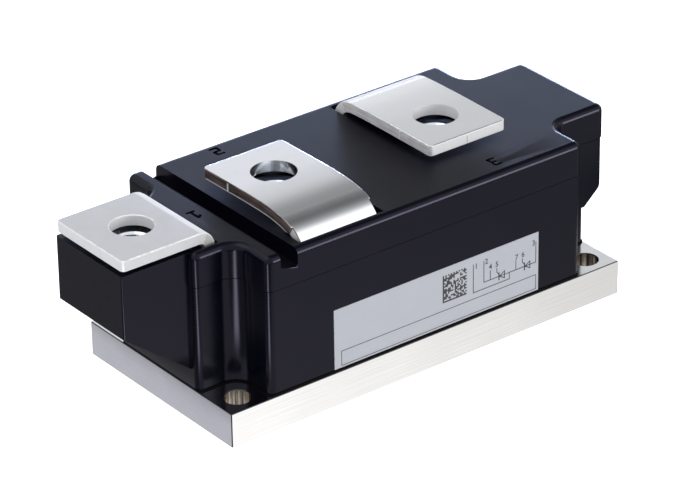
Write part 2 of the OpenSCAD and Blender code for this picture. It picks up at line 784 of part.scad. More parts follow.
module stack_screws() {
  for (x = [-1, 1], y = [-1, 1]) translate([x * screw_x, y * screw_y, 0]) children();
}

module spring_plate(x) {
  hx = screw_x + spring_edge;
  hy = screw_y + spring_edge;
  color("darkgray") translate([x, 0, spring_z]) difference() {
    linear_extrude(spring_t) round_rect(-hx, hx, hy, spring_edge);
    stack_screws() translate([0, 0, -over])
      cylinder(d = screw_d + 2 * pad_gap, h = spring_t + 2 * over);
  }
}

module clamp_screws() {
  seat_z = spring_z + spring_t;
  color("dimgray") screw_places() difference() {
    union() {
      translate([0, 0, plate_t - screw_bite]) cylinder(d = screw_d, h = seat_z - plate_t + screw_bite + over);
      translate([0, 0, seat_z]) cylinder(d = head_d, h = head_h);
    }
    translate([0, 0, seat_z + head_h / 2]) linear_extrude(head_h) hexagon(key_af);
  }
}

// Round lead swept along a route

// Point between p1 and p2 on a smooth curve through four points
function curve_point(p0, p1, p2, p3, t) =
  0.5 * (2 * p1 + (p2 - p0) * t + (2 * p0 - 5 * p1 + 4 * p2 - p3) * t * t
    + (3 * p1 - p0 - 3 * p2 + p3) * t * t * t);

// Route with extra points between the given ones
function smooth_route(p) = concat(
  [for (i = [0 : len(p) - 2], k = [0 : lead_steps - 1])
    curve_point(p[max(i - 1, 0)], p[i], p[i + 1], p[min(i + 2, len(p) - 1)], k / lead_steps)],
  [p[len(p) - 1]]
);

function unit(v) = v / norm(v);

// Ring of points around a point of the route, square to the direction d
function ring_points(c, d) =
  let (u = unit(cross(d, [0, 0, 1])), v = cross(u, d))
  [for (k = [0 : lead_sides - 1])
    c + lead_d / 2 * (cos(k * 360 / lead_sides) * u + sin(k * 360 / lead_sides) * v)];

module control_lead(route) {
  p = smooth_route(route);
  n = len(p);
  rings = [for (i = [0 : n - 1]) each ring_points(
    p[i], i == 0 ? unit(route[1] - route[0]) : i == n - 1 ? [1, 0, 0] : unit(p[i + 1] - p[i - 1])
  )];
  color("firebrick") polyhedron(
    points = rings,
    faces = concat(
      [[for (k = [0 : lead_sides - 1]) k]],
      [for (i = [0 : n - 2], k = [0 : lead_sides - 1])
        let (a = i * lead_sides + k, b = i * lead_sides + (k + 1) % lead_sides)
        [a, a + lead_sides, b + lead_sides, b]],
      [[for (k = [lead_sides - 1 : -1 : 0]) (n - 1) * lead_sides + k]]
    )
  );
}

base_plate();
seal_bead();
housing_frame();
lid();
terminal_1();
terminal_2();
terminal_3();
terminal_nut(hole_1_x);  // terminal_nut_1
terminal_nut(-stack_x);  // terminal_nut_2
terminal_nut(stack_x);  // terminal_nut_3
control_tab(0);  // control_tab_4
control_tab(1);  // control_tab_5
control_tab(2);  // control_tab_6
control_tab(3);  // control_tab_7
rating_label();
insulator_disc(-stack_x);  // insulator_disc_a
insulator_disc(stack_x);  // insulator_disc_b
mid_busbar();
thyristor_disc(-stack_x, chip_a_z);  // thyristor_disc_a
thyristor_disc(stack_x, chip_b_z);  // thyristor_disc_b
centring_ring(-stack_x, chip_a_z);  // centring_ring_a
centring_ring(stack_x, chip_b_z);  // centring_ring_b
cathode_disc(-stack_x, chip_a_z);  // cathode_disc_a
cathode_disc(stack_x, chip_b_z);  // cathode_disc_b
gate_pin(-stack_x, chip_a_z);  // gate_pin_a
gate_pin(stack_x, chip_b_z);  // gate_pin_b
insulating_cup(-stack_x);  // insulating_cup_a
insulating_cup(stack_x);  // insulating_cup_b
pressure_pad(-stack_x);  // pressure_pad_a
pressure_pad(stack_x);  // pressure_pad_b
spring_plate(-stack_x);  // spring_plate_a
spring_plate(stack_x);  // spring_plate_b
clamp_screws();
control_lead(gate_a_route);  // gate_lead_a
control_lead(cathode_a_route);  // cathode_lead_a
control_lead(gate_b_route);  // gate_lead_b
control_lead(cathode_b_route);  // cathode_lead_b
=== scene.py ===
# %% [markdown]
# # A thyristor module
# The real object switches heavy currents. Two thyristors sit under a moulded lid on a thick metal
# base plate, three bent terminal strips carry the current, and a foil label faces the front. The
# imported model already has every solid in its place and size, so this lesson adds what those solids
# don't have: broken edges, soft bends, threads, engraved numbers, print and finishes.
# Everything stays in the model's own frame, in metres.

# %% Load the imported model
import math
import random

import bmesh
import bpy
from mathutils import Matrix, Vector


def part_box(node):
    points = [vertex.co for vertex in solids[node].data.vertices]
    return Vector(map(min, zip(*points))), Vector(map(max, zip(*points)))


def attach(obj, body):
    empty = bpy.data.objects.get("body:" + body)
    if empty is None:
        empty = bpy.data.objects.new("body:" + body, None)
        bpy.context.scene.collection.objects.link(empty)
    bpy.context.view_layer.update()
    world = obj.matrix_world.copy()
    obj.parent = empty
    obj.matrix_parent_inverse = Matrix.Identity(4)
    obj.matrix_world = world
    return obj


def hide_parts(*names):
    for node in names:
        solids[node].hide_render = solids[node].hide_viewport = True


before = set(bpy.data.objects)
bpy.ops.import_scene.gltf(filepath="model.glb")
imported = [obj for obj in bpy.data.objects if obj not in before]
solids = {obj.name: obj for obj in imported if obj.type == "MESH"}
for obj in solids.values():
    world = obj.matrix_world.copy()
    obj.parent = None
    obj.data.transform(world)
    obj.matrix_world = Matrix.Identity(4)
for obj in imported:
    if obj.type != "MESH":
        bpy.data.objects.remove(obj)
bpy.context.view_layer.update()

MM = 0.001

# %% [markdown]
# ## Camera
# The picture looks taken with a long lens from the front left, a little above the lid. A long lens
# keeps upright edges nearly parallel. The camera could be turned by eye, but the base plate's
# corners and holes have known sizes, so the values below come from where those corners appear.

# %% Long-lens camera at the front left
TURN, LIFT, TILT = -37.35, 28.21, -0.89
SIDEWAYS, UPWARD, DISTANCE = -3.978, 0.650, 1028.47
LENS = 212.73
turn, lift, tilt = (math.radians(a) for a in (TURN, LIFT, TILT))
back = Vector((math.sin(turn) * math.cos(lift), -math.cos(turn) * math.cos(lift), math.sin(lift)))
right = Vector((math.cos(turn), math.sin(turn), 0))
pose = Matrix((right, back.cross(right), back)).transposed() @ Matrix.Rotation(tilt, 3, "Z")
aim = Vector((0, 0, 20))
place = (aim + pose @ Vector((SIDEWAYS, UPWARD, DISTANCE))) * MM

camera = bpy.data.objects.new("camera", bpy.data.cameras.new("camera"))
camera.data.lens = LENS
camera.data.clip_start = 0.05
camera.matrix_world = Matrix.Translation(place) @ pose.to_4x4()
bpy.context.scene.collection.objects.link(camera)
bpy.context.scene.camera = camera
bpy.context.scene.view_settings.view_transform = "Standard"
print("camera stands at", [round(v, 3) for v in place])

# %% [markdown]
# ## Nodes without repetition
# Every finish below is a small graph of shader nodes. Written out in full, each node takes five or
# six lines. One helper makes a node, sets its options, and fills each socket with a plain value or
# with a link, so a graph reads from top to bottom like a recipe.

# %% Helper for node graphs
def add_node(tree, kind, sockets=None, **options):
    node = tree.nodes.new(kind)
    for name, value in options.items():
        setattr(node, name, value)
    for name, value in (sockets or {}).items():
        if isinstance(value, bpy.types.NodeSocket):
            tree.links.new(value, node.inputs[name])
        else:
            node.inputs[name].default_value = value
    return node


def arithmetic(tree, operation, a, b=0.0, clamp=False):
    return add_node(tree, "ShaderNodeMath", {0: a, 1: b}, operation=operation, use_clamp=clamp).outputs[0]


def ranged(tree, value, low, high, to_low, to_high):
    sockets = {"Value": value, "From Min": low, "From Max": high, "To Min": to_low, "To Max": to_high}
    return add_node(tree, "ShaderNodeMapRange", sockets).outputs["Result"]


def blended(tree, factor, first, second):
    node = add_node(tree, "ShaderNodeMix", data_type="RGBA")
    for index, value in ((0, factor), (6, first), (7, second)):
        if isinstance(value, bpy.types.NodeSocket):
            tree.links.new(value, node.inputs[index])
        else:
            node.inputs[index].default_value = value
    return node.outputs[2]


print("node helpers ready")

# %% [markdown]
# ## Studio
# Catalogue pictures of metal parts are often taken in a white tent. Metal shows little but the tent,
# so the tent decides how it looks. This one is white all round, with a dark opening high on the
# right, which draws the grey band on a bent strip. The white fades in slowly around the opening. A
# picture of a room would do this too, but a graph that brightens with the direction needs no file.
# The opening was placed by the tones in the picture, so the real room may have been another one.

# %% White tent with a dark opening high on the right
studio = bpy.data.worlds.new("studio")
bpy.context.scene.world = studio
studio.use_nodes = True
tree = studio.node_tree
tree.nodes.clear()
heading = add_node(tree, "ShaderNodeTexCoord").outputs["Generated"]


def nearness(direction):
    towards = Vector(direction).normalized()
    dot = add_node(tree, "ShaderNodeVectorMath", {0: heading, 1: towards}, operation="DOT_PRODUCT")
    return dot.outputs["Value"]


opening = nearness((0.535, 0.219, 0.816))
dim = ranged(tree, opening, 1.0, 0.82, 0.15, 0.76)
bright = ranged(tree, opening, 0.82, 0.74, 0.0, 0.42)
glow = ranged(tree, nearness((0.535, -0.62, 0.573)), 0.90, 0.985, 0.0, 0.5)
tent = arithmetic(tree, "ADD", arithmetic(tree, "ADD", dim, bright), glow)
tent_light = add_node(tree, "ShaderNodeBackground", {"Color": (0.955, 0.975, 1.0, 1), "Strength": tent})
backdrop = add_node(tree, "ShaderNodeBackground", {"Color": (1, 1, 1, 1), "Strength": 1.0})
ray = add_node(tree, "ShaderNodeLightPath")
seen = arithmetic(tree, "MAXIMUM", ray.outputs["Is Camera Ray"], ray.outputs["Is Transmission Ray"])
mixed = add_node(tree, "ShaderNodeMixShader", {0: seen, 1: tent_light.outputs[0], 2: backdrop.outputs[0]})
add_node(tree, "ShaderNodeOutputWorld", {"Surface": mixed.outputs[0]})
print("tent ready")

# %% [markdown]
# ## Lamps
# Three soft boxes light the tent. The large one hangs over the back left and gives the even light on
# top. A bright one stands on the table at the front right and draws the lines along the rounded
# edges of the dark lid. A small bluish one behind the module skims over the lid and turns its black
# into blue-grey. Area lamps have soft shadows, as a diffusing cloth does.

# %% Three soft boxes
def soft_box(name, place, width, height, watts, colour=(1, 1, 1)):
    lamp = bpy.data.lights.new(name, "AREA")
    lamp.shape, lamp.size, lamp.size_y, lamp.energy = "RECTANGLE", width, height, watts
    lamp.color = colour
    box = bpy.data.objects.new(name, lamp)
    box.location = place
    box.rotation_euler = (Vector((0, 0, 0.02)) - Vector(place)).to_track_quat("-Z", "Y").to_euler()
    bpy.context.scene.collection.objects.link(box)
    return box


soft_box("overhead_soft_box", (-0.55, 0.30, 1.05), 0.9, 0.9, 3.2)
soft_box("front_soft_box", (0.535, -0.84, 0.21), 0.50, 0.32, 5.0)
soft_box("back_soft_box", (0.50, 0.62, 0.09), 0.50, 0.10, 5.2, (0.51, 0.63, 1.0))

# %% [markdown]
# ## Floor
# The module stands on white paper that runs out of the picture. Paper that is lit like the module
# would come out light grey, so what the camera sees gets a share of even white on top, and the soft
# shadow under the module stays as a slight darkening. What the module mirrors in the picture is
# uneven, so mirrored rays see a glow with a pattern instead: brighter towards the left end, shaded
# under the block that sticks out there, dark on the right, and with a bright strip at the front left
# that lights the upright corners. The pattern was made up to fit the tones in that one view.

# %% White paper under the module
paper = bpy.data.materials.new("white_paper")
paper.use_nodes = True
tree = paper.node_tree
sheet = tree.nodes["Principled BSDF"]
sheet.inputs["Base Color"].default_value = (0.86, 0.86, 0.87, 1)
sheet.inputs["Roughness"].default_value = 0.9
sheet.inputs["Specular IOR Level"].default_value = 0.1
sheet.inputs["Emission Color"].default_value = (1, 1, 1, 1)
at = add_node(tree, "ShaderNodeTexCoord").outputs["Object"]
across = add_node(tree, "ShaderNodeSeparateXYZ", {0: at})
HOLLOW_CORNER = Vector((-0.052, -0.022, 0))
offset = add_node(tree, "ShaderNodeVectorMath", {0: at, 1: HOLLOW_CORNER}, operation="SUBTRACT")


def distance_along(way):
    sockets = {0: offset.outputs[0], 1: Vector(way)}
    return add_node(tree, "ShaderNodeVectorMath", sockets, operation="DOT_PRODUCT").outputs["Value"]


beyond, aside = distance_along((-0.83, -0.56, 0)), distance_along((-0.56, 0.83, 0))
strip = ranged(tree, arithmetic(tree, "ABSOLUTE", aside), 0.014, 0.005, 0.0, 9.0)
strip = arithmetic(tree, "MULTIPLY", strip, ranged(tree, beyond, 0.028, 0.042, 0.0, 1.0))
leftward = ranged(tree, across.outputs["X"], 0.07, -0.06, 0.76, 1.13)
shaded = ranged(tree, across.outputs["X"], -0.0700, -0.0755, 1.0, 0.34)
to_right = ranged(tree, across.outputs["X"], 0.075, 0.10, 0.0, 1.0)
to_back = ranged(tree, across.outputs["Y"], -0.075, -0.04, 0.0, 1.0)
dark_part = arithmetic(tree, "MULTIPLY", arithmetic(tree, "MULTIPLY", to_right, to_back), 0.88)
beside = arithmetic(tree, "SUBTRACT", 1.0, dark_part)
pattern = arithmetic(tree, "MULTIPLY", arithmetic(tree, "MULTIPLY", leftward, shaded), beside)
ray = add_node(tree, "ShaderNodeLightPath")
white_share = arithmetic(tree, "MULTIPLY", ray.outputs["Is Camera Ray"], 0.72)
tree.links.new(white_share, sheet.inputs["Emission Strength"])
glow = add_node(tree, "ShaderNodeEmission", {"Strength": arithmetic(tree, "ADD", pattern, strip)})
mirrored = ray.outputs["Is Glossy Ray"]
mixed = add_node(tree, "ShaderNodeMixShader", {0: mirrored, 1: sheet.outputs[0], 2: glow.outputs[0]})
tree.links.new(mixed.outputs[0], tree.nodes["Material Output"].inputs["Surface"])

floor_mesh = bmesh.new()
bmesh.ops.create_grid(floor_mesh, x_segments=1, y_segments=1, size=6)
floor = bpy.data.objects.new("paper_floor", bpy.data.meshes.new("paper_floor"))
floor_mesh.to_mesh(floor.data)
floor_mesh.free()
floor.data.materials.append(paper)
bpy.context.scene.collection.objects.link(floor)
print("floor ready")

# %% [markdown]
# ## Effects that several finishes share
# Moulded plastic, plated metal and paper foil all have a fine grain, larger patches where hands and
# tools have changed the gloss, and worn edges. Rolled and ground metal also has drawn lines. Each of
# these is one node group that a finish places with its own sizes. All of them read Object
# coordinates, because every piece keeps its place in its mesh.

# %% Helper that starts a node group
def start_effect(name, inputs, outputs):
    group = bpy.data.node_groups.new(name, "ShaderNodeTree")
    for socket, kind, value in inputs:
        group.interface.new_socket(socket, in_out="INPUT", socket_type=kind).default_value = value
    for socket in outputs:
        group.interface.new_socket(socket, in_out="OUTPUT", socket_type="NodeSocketFloat")
    return group, group.nodes.new("NodeGroupInput").outputs, group.nodes.new("NodeGroupOutput").inputs


def give(group, value, socket):
    group.links.new(value, socket)


# %% Grain and patches, with sizes in millimetres
grain_effect, given, result = start_effect(
    "grain_and_patches",
    [("Grain", "NodeSocketFloat", 0.2), ("Patch", "NodeSocketFloat", 12.0)],
    ["Height", "Patch"],
)
at = add_node(grain_effect, "ShaderNodeTexCoord").outputs["Object"]
fine = add_node(grain_effect, "ShaderNodeTexNoise", {
    "Vector": at, "Scale": arithmetic(grain_effect, "DIVIDE", 1000.0, given["Grain"]), "Detail": 2.0})
broad = add_node(grain_effect, "ShaderNodeTexNoise", {
    "Vector": at, "Scale": arithmetic(grain_effect, "DIVIDE", 1000.0, given["Patch"]), "Detail": 4.0})
give(grain_effect, fine.outputs["Fac"], result["Height"])
give(grain_effect, ranged(grain_effect, broad.outputs["Fac"], 0.32, 0.68, 0.0, 1.0), result["Patch"])
print("effect:", grain_effect.name)

# %% Drawn lines, with the spacing along each axis in millimetres
line_effect, given, result = start_effect(
    "drawn_lines", [("Spacing", "NodeSocketVector", (20.0, 0.2, 0.2))], ["Height", "Line"])
at = add_node(line_effect, "ShaderNodeTexCoord").outputs["Object"]
PER_METRE = Vector((1000, 1000, 1000))
rate = add_node(line_effect, "ShaderNodeVectorMath", {0: PER_METRE, 1: given["Spacing"]}, operation="DIVIDE")
drawn = add_node(line_effect, "ShaderNodeVectorMath", {0: at, 1: rate.outputs[0]}, operation="MULTIPLY")
lines = add_node(line_effect, "ShaderNodeTexNoise", {
    "Vector": drawn.outputs[0], "Scale": 1.0, "Detail": 3.0})
give(line_effect, lines.outputs["Fac"], result["Height"])
give(line_effect, ranged(line_effect, lines.outputs["Fac"], 0.35, 0.65, 0.0, 1.0), result["Line"])
print("effect:", line_effect.name)

# %% Edge wear, which reads the faces that the edge rounding has marked
wear_effect, given, result = start_effect("edge_wear", [("Break", "NodeSocketFloat", 1.5)], ["Mask"])
marked = add_node(wear_effect, "ShaderNodeAttribute", attribute_name="edge").outputs["Fac"]
at = add_node(wear_effect, "ShaderNodeTexCoord").outputs["Object"]
chips = add_node(wear_effect, "ShaderNodeTexNoise", {
    "Vector": at, "Scale": arithmetic(wear_effect, "DIVIDE", 1000.0, given["Break"]), "Detail": 3.0})
rubbed = ranged(wear_effect, chips.outputs["Fac"], 0.38, 0.60, 0.0, 1.0)
give(wear_effect, arithmetic(wear_effect, "MULTIPLY", marked, rubbed), result["Mask"])
print("effect:", wear_effect.name)

# %% [markdown]
# ## Finishes
# A finish is one Principled shader. What is the same all over the surface is set on its sockets, and
# what varies comes from the effects: colour from patches and wear, roughness from patches, and a
# bump from the grain or the drawn lines. One function makes all of them, so each finish below is a
# short list of values.

# %% Helper that makes a finish
def finish(name, colour, patch_colour=None, wear_colour=None, roughness=(0.4, 0.5), grain=0.2, patch=12.0,
           lines=None, line_colour=None, line_share=0.5, bump=0.1, depth=0.01, wear=0.5, **plain):
    material = bpy.data.materials.new(name)
    material.use_nodes = True
    tree = material.node_tree
    shader = tree.nodes["Principled BSDF"]
    for socket, value in plain.items():
        shader.inputs[socket.replace("_", " ")].default_value = value
    grained = add_node(tree, "ShaderNodeGroup", node_tree=grain_effect)
    grained.inputs["Grain"].default_value = grain
    grained.inputs["Patch"].default_value = patch
    shade = blended(tree, grained.outputs["Patch"], (*colour, 1), (*(patch_colour or colour), 1))
    height = grained.outputs["Height"]
    if lines:
        ruled = add_node(tree, "ShaderNodeGroup", node_tree=line_effect)
        ruled.inputs["Spacing"].default_value = lines
        height = arithmetic(tree, "ADD", ruled.outputs["Height"], arithmetic(tree, "MULTIPLY", height, 0.3))
        if line_colour:
            share = arithmetic(tree, "MULTIPLY", ruled.outputs["Line"], line_share)
            shade = blended(tree, share, shade, (*line_colour, 1))
    if wear_colour:
        worn = add_node(tree, "ShaderNodeGroup", node_tree=wear_effect)
        share = arithmetic(tree, "MULTIPLY", worn.outputs["Mask"], wear)
        shade = blended(tree, share, shade, (*wear_colour, 1))
    tree.links.new(shade, shader.inputs["Base Color"])
    tree.links.new(ranged(tree, grained.outputs["Patch"], 0, 1, *roughness), shader.inputs["Roughness"])
    relief = add_node(tree, "ShaderNodeBump", {"Strength": bump, "Distance": depth * MM, "Height": height})
    tree.links.new(relief.outputs["Normal"], shader.inputs["Normal"])
    return material


print("finish helper ready")

# %% [markdown]
# ### Plastics
# Frame and lid are taken to be glass-filled plastic, in a very dark blue-black. A spark-eroded mould
# gives such a skin: a fine even grain and a satin gloss. Handled edges look a little paler. The top of
# the lid gets a wider gloss than the walls, so that low light from behind spreads over it and turns
# the black into blue-grey, as in the picture.

# %% Moulded plastics and sealant
frame_plastic = finish(
    "frame_plastic", (0.0008, 0.0008, 0.0034), (0.0012, 0.0012, 0.0042), (0.012, 0.012, 0.018),
    roughness=(0.17, 0.23), grain=0.14, patch=14, bump=0.08, depth=0.03, wear=0.45, Specular_IOR_Level=0.20,
    Specular_Tint=(0.80, 0.76, 1.0, 1), Sheen_Weight=0.02, Sheen_Roughness=0.3,
    Sheen_Tint=(0.5, 0.55, 1.0, 1))
lid_plastic = finish(
    "lid_plastic", (0.0007, 0.0007, 0.0024), (0.0010, 0.0010, 0.0030), (0.012, 0.012, 0.018),
    roughness=(0.38, 0.44), grain=0.16, patch=18, bump=0.08, depth=0.03, wear=0.4, Specular_IOR_Level=0.10,
    Specular_Tint=(0.80, 0.76, 1.0, 1))
number_floor = finish(
    "number_floor", (0.0005, 0.0005, 0.0008), (0.0008, 0.0008, 0.0012), roughness=(0.7, 0.85),
    grain=0.1, patch=3, bump=0.25, depth=0.03, Specular_IOR_Level=0.05)
inner_plastic = finish(
    "inner_plastic", (0.55, 0.52, 0.45), (0.48, 0.45, 0.39), roughness=(0.4, 0.5), grain=0.2, patch=9,
    bump=0.1, depth=0.03)
sealant = finish(
    "sealant", (0.001, 0.001, 0.0015), (0.002, 0.002, 0.0025), roughness=(0.6, 0.7), grain=0.8, patch=5,
    bump=0.3, depth=0.1, Specular_IOR_Level=0.05)
print("plastics:", frame_plastic.name, lid_plastic.name, inner_plastic.name, sealant.name)

# %% [markdown]
# ### Metals
# The base plate is taken to be copper that was ground lengthwise and then plated with nickel, so fine
# lines show through. Its rounded top edges and hole chamfers are painted nearly black and its upright
# corners black. These are painted dark reflections of what those narrow curves mirror.
# The terminals are taken to be tinned copper strip. Tin is whiter and softer, and a strip that was
# rolled and bent has lines, duller patches and bright edges. The colours were set strip by strip to
# the tones in the picture. Nuts are zinc-plated with a blue tint.

# %% Plated metals
plate_nickel = finish(
    "plate_nickel", (0.94, 0.935, 0.93), (0.89, 0.885, 0.88), roughness=(0.10, 0.16),
    grain=0.3, patch=16, lines=(30, 0.3, 0.3), line_colour=(0.80, 0.78, 0.76), bump=0.12, depth=0.005,
    Metallic=1.0)
# Sawn lines and a rougher gloss for the plate's ends, in a darker tone that is painted shade
sawn_and_shaded_end = finish(
    "sawn_and_shaded_end", (0.40, 0.40, 0.45), (0.38, 0.38, 0.43), (0.20, 0.20, 0.22), roughness=(0.24, 0.32),
    grain=0.3, patch=12, lines=(0.3, 26, 0.3), line_colour=(0.36, 0.36, 0.41), bump=0.10, depth=0.005,
    wear=0.6, Metallic=1.0)
# Painted dark reflection: nearly black metal for the plate's rounded top edges and hole chamfers
painted_dark_edge = finish(
    "painted_dark_edge", (0.045, 0.043, 0.045), (0.07, 0.068, 0.07), roughness=(0.3, 0.4), grain=0.2, patch=6,
    bump=0.1, depth=0.005, Metallic=1.0)
# Painted dark reflection: black for the plate's rounded upright corners
painted_black_corner = finish(
    "painted_black_corner", (0.004, 0.004, 0.0045), (0.008, 0.008, 0.008), roughness=(0.6, 0.7),
    grain=0.2, patch=4, bump=0.1, depth=0.005, Specular_IOR_Level=0.05)
bore_nickel = finish(
    "bore_nickel", (0.95, 0.92, 0.88), (0.80, 0.72, 0.64), (0.75, 0.74, 0.72), roughness=(0.10, 0.20),
    grain=0.2, patch=2.5, lines=(0.9, 0.9, 30), line_colour=(0.03, 0.022, 0.016), line_share=0.95,
    bump=0.5, depth=0.04, wear=0.5, Metallic=1.0)
terminal_1_tin = finish(
    "terminal_1_tin", (0.487, 0.475, 0.458), (0.458, 0.45, 0.434), (0.92, 0.92, 0.92), roughness=(0.44, 0.52),
    grain=0.18, patch=7, lines=(9, 0.25, 0.25), line_colour=(0.477, 0.47, 0.453), bump=0.12, depth=0.01,
    wear=0.7, Metallic=0.45)
terminal_2_tin = finish(
    "terminal_2_tin", (0.83, 0.83, 0.835), (0.79, 0.79, 0.80), (0.95, 0.95, 0.95), roughness=(0.15, 0.21),
    grain=0.2, patch=9, lines=(0.16, 12, 12), line_colour=(0.78, 0.78, 0.79), bump=0.14, depth=0.008,
    wear=0.4, Metallic=1.0)
terminal_3_tin = finish(
    "terminal_3_tin", (0.78, 0.78, 0.785), (0.74, 0.74, 0.75), (0.95, 0.95, 0.95), roughness=(0.10, 0.15),
    grain=0.2, patch=8, lines=(0.16, 12, 12), line_colour=(0.76, 0.76, 0.77), bump=0.12, depth=0.008,
    wear=0.2, Metallic=1.0)
pale_side = finish(
    "pale_side", (0.70, 0.70, 0.71), (0.66, 0.66, 0.67), (0.95, 0.95, 0.95), roughness=(0.42, 0.52),
    grain=0.2, patch=3, lines=(0.4, 0.4, 4), line_colour=(0.74, 0.73, 0.73), bump=0.16, depth=0.01,
    wear=0.25, Metallic=0.25)
matt_tin = finish(
    "matt_tin", (0.59, 0.575, 0.545), (0.56, 0.545, 0.515), roughness=(0.55, 0.65), grain=0.18, patch=5,
    bump=0.12, depth=0.01, Specular_IOR_Level=0.08)
# Painted dark reflection: dark metal for the middle of the rounding along terminal 3's front edge
painted_dark_reflection = finish(
    "painted_dark_reflection", (0.16, 0.16, 0.165), (0.30, 0.30, 0.31), roughness=(0.40, 0.50), grain=0.2, patch=3,
    bump=0.1, depth=0.005, Metallic=1.0)
# Painted shade: a darker copy of pale_side that holds terminal 1's front and back faces down under the front
# lamp
darker_side_as_shade = finish(
    "darker_side_as_shade", (0.50, 0.50, 0.51), (0.46, 0.46, 0.47), (0.90, 0.90, 0.90), roughness=(0.42, 0.52),
    grain=0.2, patch=3, lines=(0.4, 0.4, 4), line_colour=(0.52, 0.51, 0.51), bump=0.16, depth=0.01,
    wear=0.5, Metallic=0.25)
grey_side = finish(
    "grey_side", (0.72, 0.71, 0.72), (0.60, 0.59, 0.60), (0.90, 0.90, 0.90), roughness=(0.40, 0.50),
    grain=0.2, patch=3, lines=(0.4, 6, 0.25), line_colour=(0.28, 0.27, 0.28), bump=0.2, depth=0.015,
    wear=0.8, Metallic=0.25)
brown_side = finish(
    "brown_side", (0.20, 0.155, 0.145), (0.08, 0.062, 0.056), (0.24, 0.20, 0.19), roughness=(0.28, 0.40),
    grain=0.2, patch=4, lines=(0.6, 9, 0.4), line_colour=(0.008, 0.006, 0.006), line_share=0.9,
    bump=0.2, depth=0.015, wear=0.4, Metallic=0.3)
nut_zinc = finish(
    "nut_zinc", (0.60, 0.65, 0.72), (0.68, 0.70, 0.73), (0.82, 0.85, 0.88), roughness=(0.18, 0.28),
    grain=0.2, patch=4, bump=0.12, depth=0.01, wear=0.6, Metallic=1.0)
tab_tin = finish(
    "tab_tin", (0.72, 0.71, 0.68), (0.64, 0.62, 0.58), (0.82, 0.80, 0.76), roughness=(0.24, 0.34),
    grain=0.15, patch=3, lines=(6, 0.15, 0.15), line_colour=(0.58, 0.55, 0.50), bump=0.12, depth=0.008,
    wear=0.6, Metallic=1.0)
print("metals:", plate_nickel.name, sawn_and_shaded_end.name, nut_zinc.name, tab_tin.name)

# %% [markdown]
# ### Label and ink
# The label looks like silver foil with a slight tooth that takes print. The ink is black and a little
# uneven, as after one pass of a printer.

# %% Label foil and ink
label_foil = finish(
    "label_foil", (0.37, 0.38, 0.41), (0.35, 0.36, 0.39), roughness=(0.38, 0.46), grain=0.12, patch=10,
    bump=0.10, depth=0.01, Metallic=0.25)
label_ink = finish(
    "label_ink", (0.012, 0.012, 0.014), (0.03, 0.03, 0.034), roughness=(0.45, 0.6), grain=0.1, patch=1.2,
    bump=0.1, depth=0.005)
print("label:", label_foil.name, label_ink.name)

# %% [markdown]
# ### Pieces under the lid
# Nobody sees them until the module is opened, but a reader who hides the lid should find a ceramic
# that is white, copper that is copper, and springs that are blued steel.

# %% Finishes inside the module
ceramic = finish(
    "ceramic", (0.80, 0.79, 0.76), (0.74, 0.73, 0.70), roughness=(0.32, 0.42), grain=0.15, patch=6,
    bump=0.12, depth=0.02)
bare_copper = finish(
    "bare_copper", (0.76, 0.40, 0.27), (0.60, 0.29, 0.19), roughness=(0.25, 0.38), grain=0.2, patch=6,
    lines=(8, 0.2, 0.2), line_colour=(0.55, 0.27, 0.18), bump=0.12, depth=0.01, Metallic=1.0)
silicon = finish(
    "silicon", (0.22, 0.23, 0.26), (0.30, 0.31, 0.34), roughness=(0.12, 0.2), grain=0.3, patch=8,
    bump=0.05, depth=0.01, Metallic=0.8)
spring_steel = finish(
    "spring_steel", (0.30, 0.31, 0.36), (0.22, 0.22, 0.27), roughness=(0.28, 0.4), grain=0.2, patch=7,
    lines=(8, 0.3, 0.3), line_colour=(0.20, 0.20, 0.24), bump=0.15, depth=0.01, Metallic=1.0)
black_steel = finish(
    "black_steel", (0.035, 0.035, 0.038), (0.055, 0.053, 0.05), roughness=(0.38, 0.5), grain=0.15, patch=3,
    bump=0.2, depth=0.01, Metallic=0.7)
lead_sleeve = finish(
    "lead_sleeve", (0.55, 0.05, 0.04), (0.45, 0.04, 0.03), roughness=(0.45, 0.55), grain=0.25, patch=4,
    bump=0.12, depth=0.02)
print("inside:", ceramic.name, bare_copper.name, silicon.name, spring_steel.name)

# %% [markdown]
# ## Broken edges
# No real edge is perfectly sharp. Moulded edges follow the mould's small radius, a stamped strip is
# tumbled, and a ground plate is deburred. Those narrow curves catch the light, and without them
# metal and dark plastic look drawn, not photographed. A Bevel modifier could round every edge, but
# here the faces of each rounding are also marked, so that wear can follow them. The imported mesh
# is loose triangles: the copy is merged, flat faces are joined again, and then edges are rounded.

# %% Helpers: a copy with broken edges, and a finished piece
def broken_edges(node, width, steps=2, sharp=38, choose=None):
    mesh = bmesh.new()
    mesh.from_mesh(solids[node].data)
    bmesh.ops.remove_doubles(mesh, verts=mesh.verts, dist=0.002 * MM)
    bmesh.ops.dissolve_limit(
        mesh, angle_limit=math.radians(0.5), verts=mesh.verts, edges=mesh.edges,
        use_dissolve_boundaries=False)
    mark = mesh.faces.layers.float.new("edge")
    corners = [e for e in mesh.edges if len(e.link_faces) == 2 and e.calc_face_angle() > math.radians(sharp)
               and (choose is None or choose(e))]
    rounded = bmesh.ops.bevel(
        mesh, geom=corners, offset=width * MM, offset_type="OFFSET", affect="EDGES", segments=steps,
        profile=0.5, material=-1, clamp_overlap=True, loop_slide=True)
    for face in rounded["faces"]:
        face[mark] = 1.0
    return mesh


def add_piece(name, mesh, slot, *materials, stands_for=()):
    data = bpy.data.meshes.new(name)
    mesh.to_mesh(data)
    mesh.free()
    piece = bpy.data.objects.new(name, data)
    bpy.context.scene.collection.objects.link(piece)
    for material in materials:
        data.materials.append(material)
    data.shade_smooth()
    data.set_sharp_from_angle(angle=math.radians(32))
    piece.modifiers.new("even_shading", "WEIGHTED_NORMAL").keep_sharp = True
    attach(piece, "root")
    if stands_for:
        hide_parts(*stands_for)
    print(name, len(data.polygons), "faces")
    return piece
